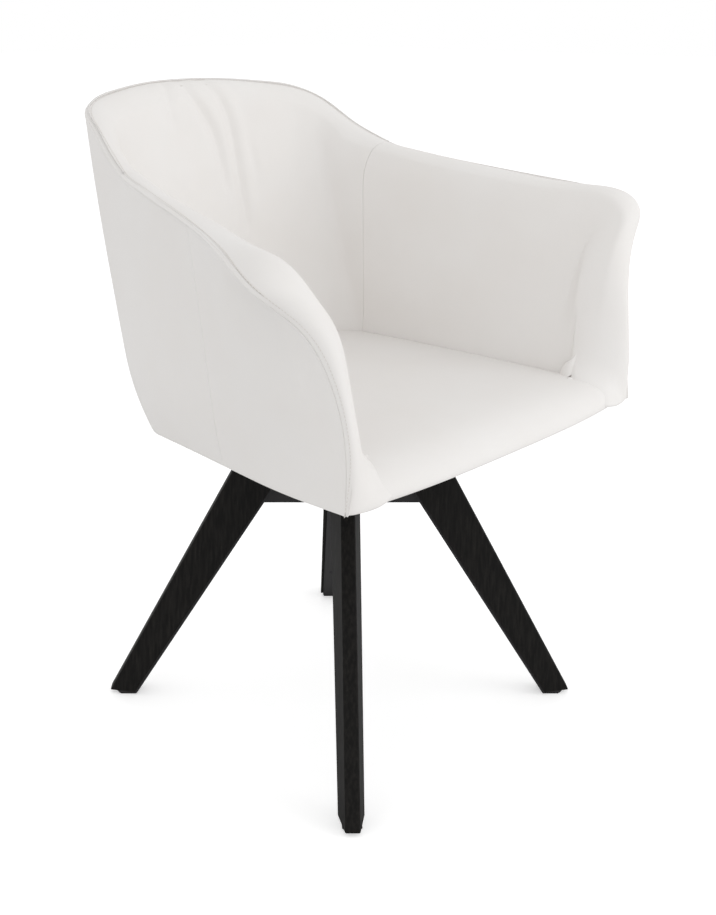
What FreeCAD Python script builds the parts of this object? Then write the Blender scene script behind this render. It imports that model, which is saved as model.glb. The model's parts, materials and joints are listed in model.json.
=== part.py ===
# Swivel armchair: a leather tub seat that turns on a four-legged base of stained oak and steel.
# Millimetres. Origin on the floor, under the swivel axis. +Z up, the chair faces -Y, +X is the sitter's left.
import FreeCAD, Part
import Sketcher
import math
import os
from FreeCAD import Placement, Rotation, Vector

os.makedirs("parts", exist_ok=True)
doc = FreeCAD.newDocument("SwivelArmchair")

# Driving dimensions. Angles are in degrees, slopes are rise over run.
DRIVING = {
    # Base: oak legs on bent steel straps
    "leg_bearing": 45,
    "foot_reach": 319,
    "foot_depth": 35,
    "leg_crown": 362,
    "leg_outer_splay": 28.1,
    "leg_inner_splay": 32.2,
    "leg_outer_half": 8.9,
    "leg_inner_half_foot": 15.8,
    "leg_inner_half_crown": 19.3,
    "leg_edge_bevel": 1.2,
    "strap_thickness": 3.4,
    "strap_half": 11.8,
    "lip_length": 25,
    "lip_bevel": 3,
    "glide_thickness": 1.6,
    # Base: cross plates, hub and screws
    "cross_thickness": 5,
    "cross_base": 280,
    "cross_saddle": 300,
    "cross_lap": 290,
    "fit_gap": 0.2,
    "hub_plate_thickness": 6,
    "hub_disc_radius": 50,
    "hub_arm_half": 17,
    "hub_arm_reach": 118,
    "hub_screw_radius": 98,
    "hub_tube_radius": 21,
    "hub_tube_bore": 17.05,
    "hub_tube_base": 312,
    # Swivel: spindle, bushes, ball race
    "spindle_radius": 12.5,
    "running_gap": 0.05,
    "bush_radius": 17,
    "bush_flange": 2,
    "bush_barrel": 20,
    "race_inner": 13.5,
    "race_outer": 27,
    "race_thickness": 3,
    "ball_circle": 20,
    "ball_radius": 3,
    "ball_slack": 0.03,
    "groove_depth": 1,
    "ball_count": 16,
    "cage_thickness": 1.8,
    "cage_half_width": 4,
    "washer_thickness": 1.8,
    "ring_thickness": 1.5,
    "ring_seat_radius": 11.2,
    "ring_outer": 15.5,
    "spindle_tail": 3,
    # Seat carrier
    "shell_rake": 3.3,
    "collar_height": 23.4,
    "collar_radius": 26,
    "plate_half": 90,
    "plate_thickness": 4,
    "plate_corner": 14,
    "bolt_spacing_half": 70,
    "bolt_radius": 4,
    "bolt_head_radius": 7,
    "bolt_head_height": 4.4,
    "bolt_crown_radius": 4.2,
    "bolt_socket_radius": 2.4,
    "nut_flange_radius": 11,
    "nut_flange": 1.5,
    "nut_barrel_radius": 5.4,
    "nut_barrel": 9,
    "floor_recess": 2.2,
    "floor_thickness": 12,
    "dust_cover_thickness": 1.5,
    # Tub in plan, outside
    "corner_out": 217,
    "corner_back": 158,
    "hem_tuck": 15,
    "hem_tuck_height": 90,
    "back_lean_low": 18.5,
    "back_lean_high": 9.7,
    "corner_radius_low": 60,
    "corner_radius_high": 40,
    "back_turn": 24,
    "arm_heading_low": 80.5,
    "arm_heading_high": 72,
    "arm_middle_y": -100,
    "arm_middle_half": 261,
    "arm_lean": 13,
    "front_plane_y": -270,
    "front_half": 280,
    "flare_rise": 130,
    "flare_out": 115,
    "flare_power": 2.5,
    # Tub in plan, inside
    "back_thickness": 34,
    "inner_corner_radius": 26,
    "inner_heading_low": 84,
    "inner_heading_high": 74,
    "arm_thickness": 56,
    "arm_front_thickness": 49,
    # Side profile of the tub: the outer seam, with its rise over the hem
    "back_rise": 425,
    "back_reach": 319,
    "shoulder_y": 259,
    "shoulder_rise": 399,
    "sweep_y": 194,
    "sweep_rise": 358,
    "arm_rear_y": 129,
    "arm_rear_rise": 326,
    "arm_middle_rise": 306,
    "arm_fore_y": -120,
    "arm_fore_rise": 287,
    "tip_y": -196,
    "tip_rise": 266,
    "tip_under_y": -221,
    "tip_under_rise": 235,
    "brow_y": -243,
    "brow_rise": 155,
    "front_edge_y": -256,
    "front_edge_rise": 86,
    "crest_bow": 3.3,
    "fore_bow": 3,
    "nose_bow": 7,
    # Layers of the tub
    "cover_thickness": 5,
    "shell_thickness": 9,
    "layer_gap": 0.4,
    "rim_gap": 0.3,
    "cover_seam_y": -9,
    "cover_seam_slope": 0.138,
    "lining_seam_y": 143,
    "rim_seam_y": 136,
    # Rim roll: how far it stands above the seam
    "roll_rise_back": 6,
    "roll_rise_arm": 12,
    "roll_rise_tip": 22,
    "roll_rise_front": 11,
    "roll_root": 5,
    "ray_start_y": 60,
    "roll_station_step": 40,
    "roll_crest_share": 0.58,
    "roll_overrun": 12,
    # Seat cushion
    "seat_rise": 61,
    "seat_sag": 9,
    "seat_front_y": -272,
    "seat_front_bow": 9,
    "seat_roll_start": -232,
    "seat_roll_drop": 30,
    "seat_nose_drop": 1.5,
    "seat_knuckle_run": 0.74,
    "seat_knuckle_drop": 0.31,
    "seat_rear_drop": 4,
    "seat_back_y": 215,
}
sizes = doc.addObject("Spreadsheet::Sheet", "Sizes")
for row, (alias, figure) in enumerate(DRIVING.items(), start=1):
    sizes.set(f"A{row}", alias)
    sizes.set(f"B{row}", str(figure))
    sizes.setAlias(f"B{row}", alias)

# Places that follow from the driving dimensions
DERIVED = {
    "lip_top": "Sizes.glide_thickness + Sizes.strap_thickness",
    "leg_rise": "Sizes.leg_crown - lip_top",
    "leg_outer_crown": "Sizes.foot_reach - leg_rise * tan(Sizes.leg_outer_splay)",
    "leg_inner_foot": "Sizes.foot_reach - Sizes.foot_depth",
    "leg_inner_crown": "leg_inner_foot - leg_rise * tan(Sizes.leg_inner_splay)",
    "strap_shift": "Sizes.strap_thickness / cos(Sizes.leg_inner_splay)",
    "strap_drop": "Sizes.strap_thickness * tan(Sizes.leg_inner_splay)",
    "strap_foot": "leg_inner_foot + strap_drop - strap_shift",
    "strap_crown": "leg_inner_crown + strap_drop - strap_shift",
    "lip_end": "leg_inner_foot + Sizes.lip_length",
    "lip_end_low": "lip_end - Sizes.lip_bevel",
    "glide_start": "strap_foot + 1",
    "glide_end": "lip_end_low - 1",
    "glide_half": "Sizes.strap_half - 1",
    "strap_flange": "Sizes.leg_crown - Sizes.strap_thickness",
    "flange_end": "Sizes.hub_tube_radius + 1",
    "cross_reach": "leg_inner_foot - (Sizes.cross_base - lip_top) * tan(Sizes.leg_inner_splay) - strap_shift",
    "saddle_half": "Sizes.hub_tube_radius + Sizes.fit_gap",
    "slot_half": "Sizes.cross_thickness / 2 + Sizes.fit_gap",
    "hub_crown": "Sizes.leg_crown + Sizes.hub_plate_thickness",
    "race_base": "hub_crown + Sizes.bush_flange",
    "race_crown": "race_base + Sizes.race_thickness",
    "ball_centre": "race_crown - Sizes.groove_depth + Sizes.ball_radius + Sizes.ball_slack",
    "upper_race_base": "2 * ball_centre - race_crown",
    "collar_base": "upper_race_base + Sizes.race_thickness",
    "hem_height": "collar_base + Sizes.collar_height + (Sizes.plate_thickness - Sizes.floor_recess)"
                  " / cos(Sizes.shell_rake)",
    "bush_bore": "Sizes.spindle_radius + Sizes.running_gap",
    "bush_foot": "Sizes.hub_tube_base - Sizes.bush_flange",
    "washer_foot": "bush_foot - Sizes.running_gap - Sizes.washer_thickness",
    "ring_foot": "washer_foot - Sizes.running_gap - Sizes.ring_thickness",
    "spindle_foot": "ring_foot - Sizes.spindle_tail",
    "plate_under": "Sizes.floor_recess - Sizes.plate_thickness",
    "floor_top": "Sizes.floor_recess + Sizes.floor_thickness",
}
# Heights of the tub over the floor
for form in ("flare", "back", "shoulder", "sweep", "arm_rear", "arm_middle", "arm_fore", "tip", "tip_under", "brow",
             "front_edge", "seat"):
    DERIVED[form + "_height"] = f"hem_height + Sizes.{form}_rise"
# Places one edge bevel inside a leg's faces
for face in ("Sizes.foot_reach", "leg_outer_crown", "Sizes.leg_outer_half", "Sizes.leg_inner_half_foot",
             "Sizes.leg_inner_half_crown"):
    DERIVED[face.split(".")[-1] + "_less"] = face + " - Sizes.leg_edge_bevel"
for face in ("leg_inner_foot", "leg_inner_crown"):
    DERIVED[face + "_more"] = face + " + Sizes.leg_edge_bevel"
worked = doc.addObject("Spreadsheet::Sheet", "Worked")
for row, (alias, formula) in enumerate(DERIVED.items(), start=1):
    worked.set(f"A{row}", alias)
    worked.set(f"B{row}", "=" + formula)
    worked.setAlias(f"B{row}", alias)
doc.recompute()


def size(name):
    """Number behind a size name from either sheet."""
    sheet = sizes if name in DRIVING else worked
    return float(getattr(sheet, name))


def bound(name):
    """Expression that ties a property to a size name."""
    return f"Sizes.{name}" if name in DRIVING else f"Worked.{name}"


# Reach of cutting blocks, past everything
FAR = 1000
nodes = []


def keep(item, label):
    """Give a sub-part its own name and list it for writing."""
    item.Label = label
    nodes.append(item)
    return item


# Sketch and body helpers


def new_body(label):
    body = doc.addObject("PartDesign::Body", "Body")
    body.Label = label
    return body


def new_sketch(body, role):
    """Sketch on one of the body's own origin planes."""
    sketch = body.newObject("Sketcher::SketchObject", "Outline")
    plane = [item for item in body.Origin.OriginFeatures if item.Role == role][0]
    sketch.AttachmentSupport = (plane, [""])
    sketch.MapMode = "FlatFace"
    return sketch


def split_sign(name):
    return (-1, name[1:]) if name.startswith("-") else (1, name)


def place_of(name):
    """Signed number of a corner's size name, where 0 is on the axis."""
    if name == "0":
        return 0.0
    sign, plain = split_sign(name)
    return sign * size(plain)


def tie_corner(sketch, edge, direction, name):
    """Hold the start of an edge at a named distance from one of the sketch's axes."""
    if name == "0":
        axis = -2 if direction == "DistanceX" else -1
        sketch.addConstraint(Sketcher.Constraint("PointOnObject", edge, 1, axis))
        return
    sign, plain = split_sign(name)
    number = sketch.addConstraint(Sketcher.Constraint(direction, -1, 1, edge, 1, place_of(name)))
    sketch.setExpression(f"Constraints[{number}]", ("-" if sign < 0 else "") + bound(plain))


def draw_outline(sketch, corners):
    """Closed straight-sided outline through corners given as pairs of size names."""
    points = [Vector(place_of(across), place_of(up), 0) for across, up in corners]
    for start, end in zip(points, points[1:] + points[:1]):
        sketch.addGeometry(Part.LineSegment(start, end), False)
    for edge in range(len(corners)):
        sketch.addConstraint(Sketcher.Constraint("Coincident", edge, 2, (edge + 1) % len(corners), 1))
    for edge, (across, up) in enumerate(corners):
        tie_corner(sketch, edge, "DistanceX", across)
        tie_corner(sketch, edge, "DistanceY", up)


def draw_circle(sketch, radius_name):
    circle = sketch.addGeometry(Part.Circle(Vector(0, 0, 0), Vector(0, 0, 1), size(radius_name)), False)
    sketch.addConstraint(Sketcher.Constraint("Coincident", circle, 3, -1, 1))
    number = sketch.addConstraint(Sketcher.Constraint("Radius", circle, size(radius_name)))
    sketch.setExpression(f"Constraints[{number}]", bound(radius_name))


def extrude(body, sketch, length, midplane=False):
    pad = body.newObject("PartDesign::Pad", "Pad")
    pad.Profile = sketch
    pad.Midplane = midplane
    pad.setExpression("Length", length)
    return pad


def turned(label, corners):
    """Body of revolution round Z from a half profile of (radius, height) size names."""
    body = new_body(label)
    sketch = new_sketch(body, "XZ_Plane")
    draw_outline(sketch, corners)
    turn = body.newObject("PartDesign::Revolution", "Turn")
    turn.Profile = sketch
    turn.ReferenceAxis = (sketch, ["V_Axis"])
    turn.Angle = 360
    return body


def ring(label, bore, rim, base, crown):
    return turned(label, [(bore, base), (rim, base), (rim, crown), (bore, crown)])


def cut(label, blank, tool_shape, tool_name):
    """Blank less a tool, as one sub-part."""
    tool = doc.addObject("Part::Feature", tool_name)
    tool.Shape = tool_shape
    result = doc.addObject("Part::Cut", "Cut")
    result.Base = blank
    result.Tool = tool
    return keep(result, label)


def solid_feature(label, shape):
    feature = doc.addObject("Part::Feature", "Form")
    feature.Shape = shape
    return keep(feature, label)


def spun(profile):
    """Solid turned round Z from straight-sided (radius, height) corners."""
    corners = [Vector(radius, 0, height) for radius, height in profile]
    face = Part.Face(Part.makePolygon(corners + corners[:1]))
    return face.revolve(Vector(0, 0, 0), Vector(0, 0, 1), 360)


def spin_about_axis(shape, angle):
    return shape.rotated(Vector(0, 0, 0), Vector(0, 0, 1), angle)


# Screws. A screw starts at its head and runs along +Z; slack widens it into the hole it needs.
STRAP_SCREW = {"head": 4.2, "shank": 2.1, "cone": 2.2, "length": 26, "point": 3}
HUB_SCREW = {"head": 8.2, "shank": 4, "cone": 4.2, "length": 38, "point": 4}
screw_slack = 0.1
strap_screw_heights = (60, 160, 260)


def screw(kind, slack=0.0):
    head = kind["head"] + slack
    shank = kind["shank"] + slack
    tip = kind["length"] + slack
    return spun([
        (0, -slack), (head, -slack), (head, 0), (shank, kind["cone"]),
        (shank, tip - kind["point"]), (shank / 3, tip), (0, tip),
    ])


def strap_screw_places():
    """Screws square to the strap, from its inner face into the leg, along a leg that points to +X."""
    splay = math.radians(size("leg_inner_splay"))
    turn = Rotation(Vector(0, 1, 0), 90 - size("leg_inner_splay"))
    places = []
    for height in strap_screw_heights:
        radius = size("leg_inner_foot") - (height - size("lip_top")) * math.tan(splay) - size("strap_shift")
        places.append(Placement(Vector(radius, 0, height), turn))
    return places


def placed(shape, place):
    moved = shape.copy()
    moved.Placement = place
    return moved


def strap_screws(slack=0.0):
    return [placed(screw(STRAP_SCREW, slack), place) for place in strap_screw_places()]


def hub_screw(slack=0.0):
    head_down = Rotation(Vector(1, 0, 0), 180)
    return placed(screw(HUB_SCREW, slack), Placement(Vector(size("hub_screw_radius"), 0, size("hub_crown")), head_down))


# Base: four legs, each with its strap and glide
CORNERS = {"rear_left": 0, "rear_right": 1, "front_right": 2, "front_left": 3}


def bearing(corner):
    return size("leg_bearing") + 90 * CORNERS[corner]


def turn_to(item, corner):
    item.Placement = Placement(Vector(0, 0, 0), Rotation(Vector(0, 0, 1), bearing(corner)))


def leg_section(body, height_name, outer, inner, inner_half):
    """Trapezium across the leg with bevelled corners: narrow outer face, wide inner face."""
    sketch = new_sketch(body, "XY_Plane")
    sketch.setExpression("AttachmentOffset.Base.z", bound(height_name))
    side = [
        (inner, inner_half + "_less"), (inner + "_more", inner_half),
        (outer + "_less", "leg_outer_half"), (outer, "leg_outer_half_less"),
    ]
    draw_outline(sketch, side + [(across, "-" + up) for across, up in reversed(side)])
    return sketch


def make_leg(corner):
    body = new_body("leg_blank_" + corner)
    foot = leg_section(body, "lip_top", "foot_reach", "leg_inner_foot", "leg_inner_half_foot")
    crown = leg_section(body, "leg_crown", "leg_outer_crown", "leg_inner_crown", "leg_inner_half_crown")
    loft = body.newObject("PartDesign::AdditiveLoft", "Taper")
    loft.Profile = foot
    loft.Sections = [crown]
    loft.Ruled = True
    holes = Part.makeCompound(strap_screws(screw_slack) + [hub_screw(screw_slack)])
    leg = cut("leg_" + corner, body, holes, "LegHoles")
    turn_to(leg, corner)


def make_strap(corner):
    body = new_body("strap_blank_" + corner)
    sketch = new_sketch(body, "XZ_Plane")
    draw_outline(sketch, [
        ("strap_foot", "glide_thickness"), ("lip_end_low", "glide_thickness"), ("lip_end", "lip_top"),
        ("leg_inner_foot", "lip_top"), ("leg_inner_crown", "leg_crown"), ("flange_end", "leg_crown"),
        ("flange_end", "strap_flange"), ("strap_crown", "strap_flange"),
    ])
    extrude(body, sketch, "2 * Sizes.strap_half", midplane=True)
    strap = cut("leg_strap_" + corner, body, Part.makeCompound(strap_screws(screw_slack)), "StrapHoles")
    turn_to(strap, corner)


def make_glide(corner):
    body = new_body("foot_glide_" + corner)
    sketch = new_sketch(body, "XY_Plane")
    draw_outline(sketch, [
        ("glide_start", "-glide_half"), ("glide_end", "-glide_half"), ("glide_end", "glide_half"),
        ("glide_start", "glide_half"),
    ])
    extrude(body, sketch, bound("glide_thickness"))
    turn_to(keep(body, "foot_glide_" + corner), corner)


for corner_name in CORNERS:
    make_leg(corner_name)
    make_strap(corner_name)
    make_glide(corner_name)

all_strap_screws = [
    spin_about_axis(one, bearing(corner)) for corner in CORNERS for one in strap_screws()
]
solid_feature("strap_screws", Part.makeCompound(all_strap_screws))
all_hub_screws = [spin_about_axis(hub_screw(), bearing(corner)) for corner in CORNERS]
solid_feature("hub_screws", Part.makeCompound(all_hub_screws))


# Base: two plates halved together below the hub tube, which sits in their saddles
def make_cross_plate(label, angle, lap_corners_low, lap_corners_high):
    body = new_body(label)
    sketch = new_sketch(body, "XZ_Plane")
    corners = lap_corners_low + [("cross_reach", "cross_base"), ("strap_crown", "strap_flange")]
    corners += [("saddle_half", "strap_flange"), ("saddle_half", "cross_saddle")] + lap_corners_high
    corners += [("-saddle_half", "cross_saddle"), ("-saddle_half", "strap_flange")]
    corners += [("-strap_crown", "strap_flange"), ("-cross_reach", "cross_base")]
    draw_outline(sketch, corners)
    extrude(body, sketch, bound("cross_thickness"), midplane=True)
    body.Placement = Placement(Vector(0, 0, 0), Rotation(Vector(0, 0, 1), angle))
    keep(body, label)


make_cross_plate("cross_plate_lower", size("leg_bearing"), [], [
    ("slot_half", "cross_saddle"), ("slot_half", "cross_lap"), ("-slot_half", "cross_lap"),
    ("-slot_half", "cross_saddle"),
])
make_cross_plate("cross_plate_upper", size("leg_bearing") + 90, [
    ("-slot_half", "cross_base"), ("-slot_half", "cross_lap"), ("slot_half", "cross_lap"),
    ("slot_half", "cross_base"),
], [])


# Base: hub plate with an arm over each leg, hub tube and bushes
def make_hub_plate():
    body = new_body("hub_plate_blank")
    arms = new_sketch(body, "XY_Plane")
    arms.setExpression("AttachmentOffset.Base.z", bound("leg_crown"))
    reach, half = "hub_arm_reach", "hub_arm_half"
    quarter = [(reach, "-" + half), (reach, half), (half, half)]
    corners = list(quarter)
    for _ in range(3):
        quarter = [(flip(up), across) for across, up in quarter]
        corners += quarter
    draw_outline(arms, corners)
    extrude(body, arms, bound("hub_plate_thickness"))
    disc = new_sketch(body, "XY_Plane")
    disc.setExpression("AttachmentOffset.Base.z", bound("leg_crown"))
    draw_circle(disc, "hub_disc_radius")
    extrude(body, disc, bound("hub_plate_thickness"))
    bore = Part.makeCylinder(size("hub_tube_bore"), 4 * size("hub_plate_thickness"),
                             Vector(0, 0, size("leg_crown") - size("hub_plate_thickness")))
    holes = [spin_about_axis(hub_screw(screw_slack), 90 * quarter_turn) for quarter_turn in range(4)]
    plate = cut("hub_plate", body, Part.makeCompound(holes + [bore]), "HubHoles")
    plate.Placement = Placement(Vector(0, 0, 0), Rotation(Vector(0, 0, 1), size("leg_bearing")))


def flip(name):
    return name[1:] if name.startswith("-") else "-" + name


make_hub_plate()
keep(ring("hub_tube", "hub_tube_bore", "hub_tube_radius", "hub_tube_base", "leg_crown"), "hub_tube")


def bush(label, flange_outer_face, flange_inner_face, barrel_end):
    body = turned(label, [
        ("bush_bore", flange_outer_face), ("hub_tube_radius", flange_outer_face),
        ("hub_tube_radius", flange_inner_face), ("bush_radius", flange_inner_face),
        ("bush_radius", barrel_end), ("bush_bore", barrel_end),
    ])
    keep(body, label)


def derive(name, formula):
    """Add one more worked place to the second sheet."""
    DERIVED[name] = formula
    row_number = len(DERIVED)
    worked.set(f"A{row_number}", name)
    worked.set(f"B{row_number}", "=" + formula)
    worked.setAlias(f"B{row_number}", name)
    worked.recompute()


derive("upper_barrel_end", "hub_crown - Sizes.bush_barrel")
derive("lower_barrel_end", "Sizes.hub_tube_base + Sizes.bush_barrel")
bush("upper_bush", "race_base", "hub_crown", "upper_barrel_end")
bush("lower_bush", "bush_foot", "hub_tube_base", "lower_barrel_end")


# Swivel: grooved races with a caged ring of balls
def grooved(label, body):
    groove = doc.addObject("Part::Torus", "Groove")
    groove.setExpression("Radius1", bound("ball_circle"))
    groove.setExpression("Radius2", "Sizes.ball_radius + 2 * Sizes.ball_slack")
    groove.setExpression("Placement.Base.z", bound("ball_centre"))
    race = doc.addObject("Part::Cut", "Race")
    race.Base = body
    race.Tool = groove
    keep(race, label)


grooved("lower_race", ring("lower_race_blank", "race_inner", "race_outer", "race_base", "race_crown"))
grooved("upper_race", ring("upper_race_blank", "race_inner", "race_outer", "upper_race_base", "collar_base"))


def around_ball_circle(shape):
    count = int(size("ball_count"))
    return [spin_about_axis(shape, 360 * place / count) for place in range(count)]


def make_ball_ring():
    centre = Vector(size("ball_circle"), 0, size("ball_centre"))
    ball = Part.makeSphere(size("ball_radius"), centre)
    solid_feature("bearing_balls", Part.makeCompound(around_ball_circle(ball)))
    half = size("cage_thickness") / 2
    inner = size("ball_circle") - size("cage_half_width")
    outer = size("ball_circle") + size("cage_half_width")
    low = size("ball_centre") - half
    band = Part.makeCylinder(outer, 2 * half, Vector(0, 0, low))
    band = band.cut(Part.makeCylinder(inner, 2 * half, Vector(0, 0, low)))
    pocket_radius = size("ball_radius") + size("running_gap")
    pocket = Part.makeCylinder(pocket_radius, 4 * half, Vector(size("ball_circle"), 0, low - half))
    solid_feature("ball_cage", band.cut(around_ball_circle(pocket)))


make_ball_ring()

# Seat side of the swivel: spindle with its washer and retaining ring, raked collar and plate
rake = Placement(Vector(0, 0, size("hem_height")), Rotation(Vector(1, 0, 0), -size("shell_rake")))
derive("spindle_crown", "hem_height + Sizes.floor_recess - Sizes.bush_flange")
derive("ring_crown", "ring_foot + Sizes.ring_thickness")
derive("washer_crown", "washer_foot + Sizes.washer_thickness")
keep(turned("spindle", [
    ("0", "spindle_foot"), ("spindle_radius", "spindle_foot"), ("spindle_radius", "ring_foot"),
    ("ring_seat_radius", "ring_foot"), ("ring_seat_radius", "ring_crown"), ("spindle_radius", "ring_crown"),
    ("spindle_radius", "spindle_crown"), ("0", "spindle_crown"),
]), "spindle")
keep(ring("thrust_washer", "bush_bore", "hub_tube_radius", "washer_foot", "washer_crown"), "thrust_washer")


def make_retaining_ring():
    """Open ring in the spindle's groove."""
    thickness = size("ring_thickness") - 2 * size("running_gap")
    base = Vector(0, 0, size("ring_foot") + size("running_gap"))
    bore = size("ring_seat_radius") + size("running_gap")
    shape = Part.makeCylinder(size("ring_outer"), thickness, base)
    shape = shape.cut(Part.makeCylinder(bore, thickness, base))
    mouth = Part.makeBox(size("ring_outer") + 1, 2 * bore / 3, thickness, base + Vector(0, -bore / 3, 0))
    solid_feature("retaining_ring", shape.cut(mouth))


make_retaining_ring()


def raked(shape):
    moved = shape.copy()
    moved.Placement = rake.multiply(moved.Placement)
    return moved


def slab(low, high):
    """Flat slab parallel to the raked hem, between two heights above it."""
    return raked(Part.makeBox(2 * FAR, 2 * FAR, high - low, Vector(-FAR, -FAR, low)))


def make_collar():
    height = 2 * size("collar_height")
    blank = Part.makeCylinder(size("collar_radius"), height, Vector(0, 0, size("collar_base")))
    bore = Part.makeCylinder(size("bush_bore"), height, Vector(0, 0, size("collar_base")))
    solid_feature("rake_collar", blank.cut([bore, slab(size("plate_under"), FAR)]))


def bolt_places():
    step = size("bolt_spacing_half")
    return [Vector(across * step, along * step, 0) for across in (-1, 1) for along in (-1, 1)]


def at_bolts(shape):
    return [raked(shape.translated(place)) for place in bolt_places()]


def make_seat_plate():
    half, thickness = size("plate_half"), size("plate_thickness")
    plate = Part.makeBox(2 * half, 2 * half, thickness, Vector(-half, -half, size("plate_under")))
    upright = [edge for edge in plate.Edges if edge.BoundBox.ZLength > thickness / 2]
    plate = raked(plate.makeFillet(size("plate_corner"), upright))
    bore = Part.makeCylinder(size("bush_bore"), 2 * size("collar_height"), Vector(0, 0, size("collar_base")))
    hole = Part.makeCylinder(size("bolt_radius") + screw_slack, size("plate_thickness"),
                             Vector(0, 0, size("plate_under")))
    solid_feature("seat_plate", plate.cut([bore] + at_bolts(hole)))


def make_bolts():
    under = size("plate_under")
    head = size("bolt_head_radius")
    tip = size("floor_top") - 1
    bolt = spun([
        (0, under - size("bolt_head_height")), (size("bolt_crown_radius"), under - size("bolt_head_height")),
        (head, under - size("bolt_head_height") / 3), (head, under), (size("bolt_radius"), under),
        (size("bolt_radius"), tip), (0, tip),
    ])
    socket = Part.makeCylinder(size("bolt_socket_radius"), size("bolt_head_height") / 2,
                               Vector(0, 0, under - size("bolt_head_height")))
    solid_feature("seat_plate_bolts", Part.makeCompound(at_bolts(bolt.cut(socket))))
    top = size("floor_top")
    bore = size("bolt_radius") + size("running_gap")
    nut = spun([
        (bore, top - size("nut_barrel")), (size("nut_barrel_radius"), top - size("nut_barrel")),
        (size("nut_barrel_radius"), top - size("nut_flange")), (size("nut_flange_radius"), top - size("nut_flange")),
        (size("nut_flange_radius"), top), (bore, top),
    ])
    solid_feature("tee_nuts", Part.makeCompound(at_bolts(nut)))


make_collar()
make_seat_plate()
make_bolts()


# Tub in plan. Each level is an outline of tangent arcs: arm front, arm, rear corner, back, and their mirror.
hem_level = size("hem_height") - 15
rim_level = size("back_height") + 10
LEVELS = [hem_level + (rim_level - hem_level) * step / 12 for step in range(13)]


def along(low, high, level):
    """Value at a level, even from the hem to the rim."""
    share = (level - size("hem_height")) / (size("back_height") - size("hem_height"))
    return low + (high - low) * share


def tangent(degrees):
    return math.tan(math.radians(degrees))


def corner_point(level):
    """Outer rear corner, where the wall faces half back and half out."""
    rise = level - size("hem_height")
    tuck = max(0.0, 1 - rise / size("hem_tuck_height"))
    low, high = tangent(size("back_lean_low")), tangent(size("back_lean_high"))
    lean = low * rise - (low - high) * rise ** 2 / (2 * (size("back_height") - size("hem_height")))
    return Vector(size("corner_out") - size("hem_tuck") * tuck ** 2, size("corner_back") + lean, level)


def flare(level):
    """Outward throw of the arm's front end, growing towards the tip."""
    share = (level - size("flare_height")) / (size("tip_height") - size("flare_height"))
    if share <= 0:
        return 0.0
    return size("flare_out") * (share ** size("flare_power") if share < 1 else share)


def facing(degrees):
    """Unit vector in plan, turned from +Y towards +X."""
    return Vector(math.sin(math.radians(degrees)), math.cos(math.radians(degrees)), 0)


def heading(degrees):
    return Vector(math.cos(math.radians(degrees)), -math.sin(math.radians(degrees)), 0)


def arc_from(start, direction, end):
    """Arc that leaves start in a direction and reaches end; also its direction there."""
    chord = end - start
    turn = math.atan2(direction.x * chord.y - direction.y * chord.x, direction.dot(chord))
    if abs(turn) < 0.0005:
        return Part.LineSegment(start, end).toShape(), direction
    half = turn / 2
    unit = Vector(direction.x * math.cos(half) - direction.y * math.sin(half),
                  direction.x * math.sin(half) + direction.y * math.cos(half), 0)
    middle = start + unit * (chord.Length / (2 * math.cos(half)))
    last = Vector(direction.x * math.cos(2 * turn) - direction.y * math.sin(2 * turn),
                  direction.x * math.sin(2 * turn) + direction.y * math.cos(2 * turn), 0)
    return Part.Arc(start, middle, end).toShape(), last


def mirrored_edge(edge):
    return edge.mirror(Vector(0, 0, 0), Vector(1, 0, 0))


def outline(level, corner, radius, arm_heading, middle_half, front_half, front_y):
    """Closed tub outline at one level; the front is closed by a straight line."""
    half_corner = facing(45)
    centre = corner - half_corner * radius
    back_turn = size("back_turn")
    back_end = centre + facing(back_turn) * radius
    back_radius = back_end.x / math.sin(math.radians(back_turn))
    back_middle = Vector(0, back_end.y + back_radius * (1 - math.cos(math.radians(back_turn))), level)
    arm_start = centre + facing(arm_heading) * radius
    turn_middle = centre + facing((back_turn + arm_heading) / 2) * radius
    middle = Vector(middle_half, size("arm_middle_y"), level)
    front = Vector(front_half, front_y, level)
    arm, direction = arc_from(arm_start, heading(arm_heading), middle)
    fore, _ = arc_from(middle, direction, front)
    turn = Part.Arc(back_end, turn_middle, arm_start).toShape()
    back = Part.Arc(Vector(-back_end.x, back_end.y, level), back_middle, back_end).toShape()
    close = Part.LineSegment(front, Vector(-front.x, front.y, level)).toShape()
    edges = [back, turn, arm, fore, close] + [mirrored_edge(edge) for edge in (fore, arm, turn)]
    return Part.Wire(Part.__sortEdges__(edges))


def outer_outline(level, inset):
    corner = corner_point(level) - facing(45) * inset
    radius = along(size("corner_radius_low"), size("corner_radius_high"), level) - inset
    arm_heading = along(size("arm_heading_low"), size("arm_heading_high"), level)
    middle = size("arm_middle_half") + (level - size("hem_height")) * tangent(size("arm_lean")) - inset
    front = size("front_half") + flare(level) - inset
    return outline(level, corner, radius, arm_heading, middle, front, size("front_plane_y"))


def inner_outline(level, inset):
    corner = corner_point(level) - facing(45) * (size("back_thickness") + inset)
    radius = size("inner_corner_radius")
    arm_heading = along(size("inner_heading_low"), size("inner_heading_high"), level)
    middle = size("arm_middle_half") + (level - size("hem_height")) * tangent(size("arm_lean"))
    middle -= size("arm_thickness") + inset
    front = size("front_half") + flare(level) - size("arm_front_thickness") - inset
    return outline(level, corner, radius, arm_heading, middle, front, size("front_plane_y") - 20)


def tub(outline_at, inset):
    """Filled tub body through every level."""
    return Part.makeLoft([outline_at(level, inset) for level in LEVELS], True, False)


# Side profile: the arc chain that the outer seam follows, seen from the side
def seen_from_side(along_name, height_name):
    return Vector(0, size(along_name), size(height_name))


def hem_at(y):
    return size("hem_height") - y * tangent(size("shell_rake"))


def bowed(start, end, bow):
    """Arc in the side view that stands off its chord by a bow, up and forwards."""
    run = (end - start).normalize()
    return Part.Arc(start, (start + end) * 0.5 + Vector(0, run.z, -run.y) * bow, end).toShape()


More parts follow.
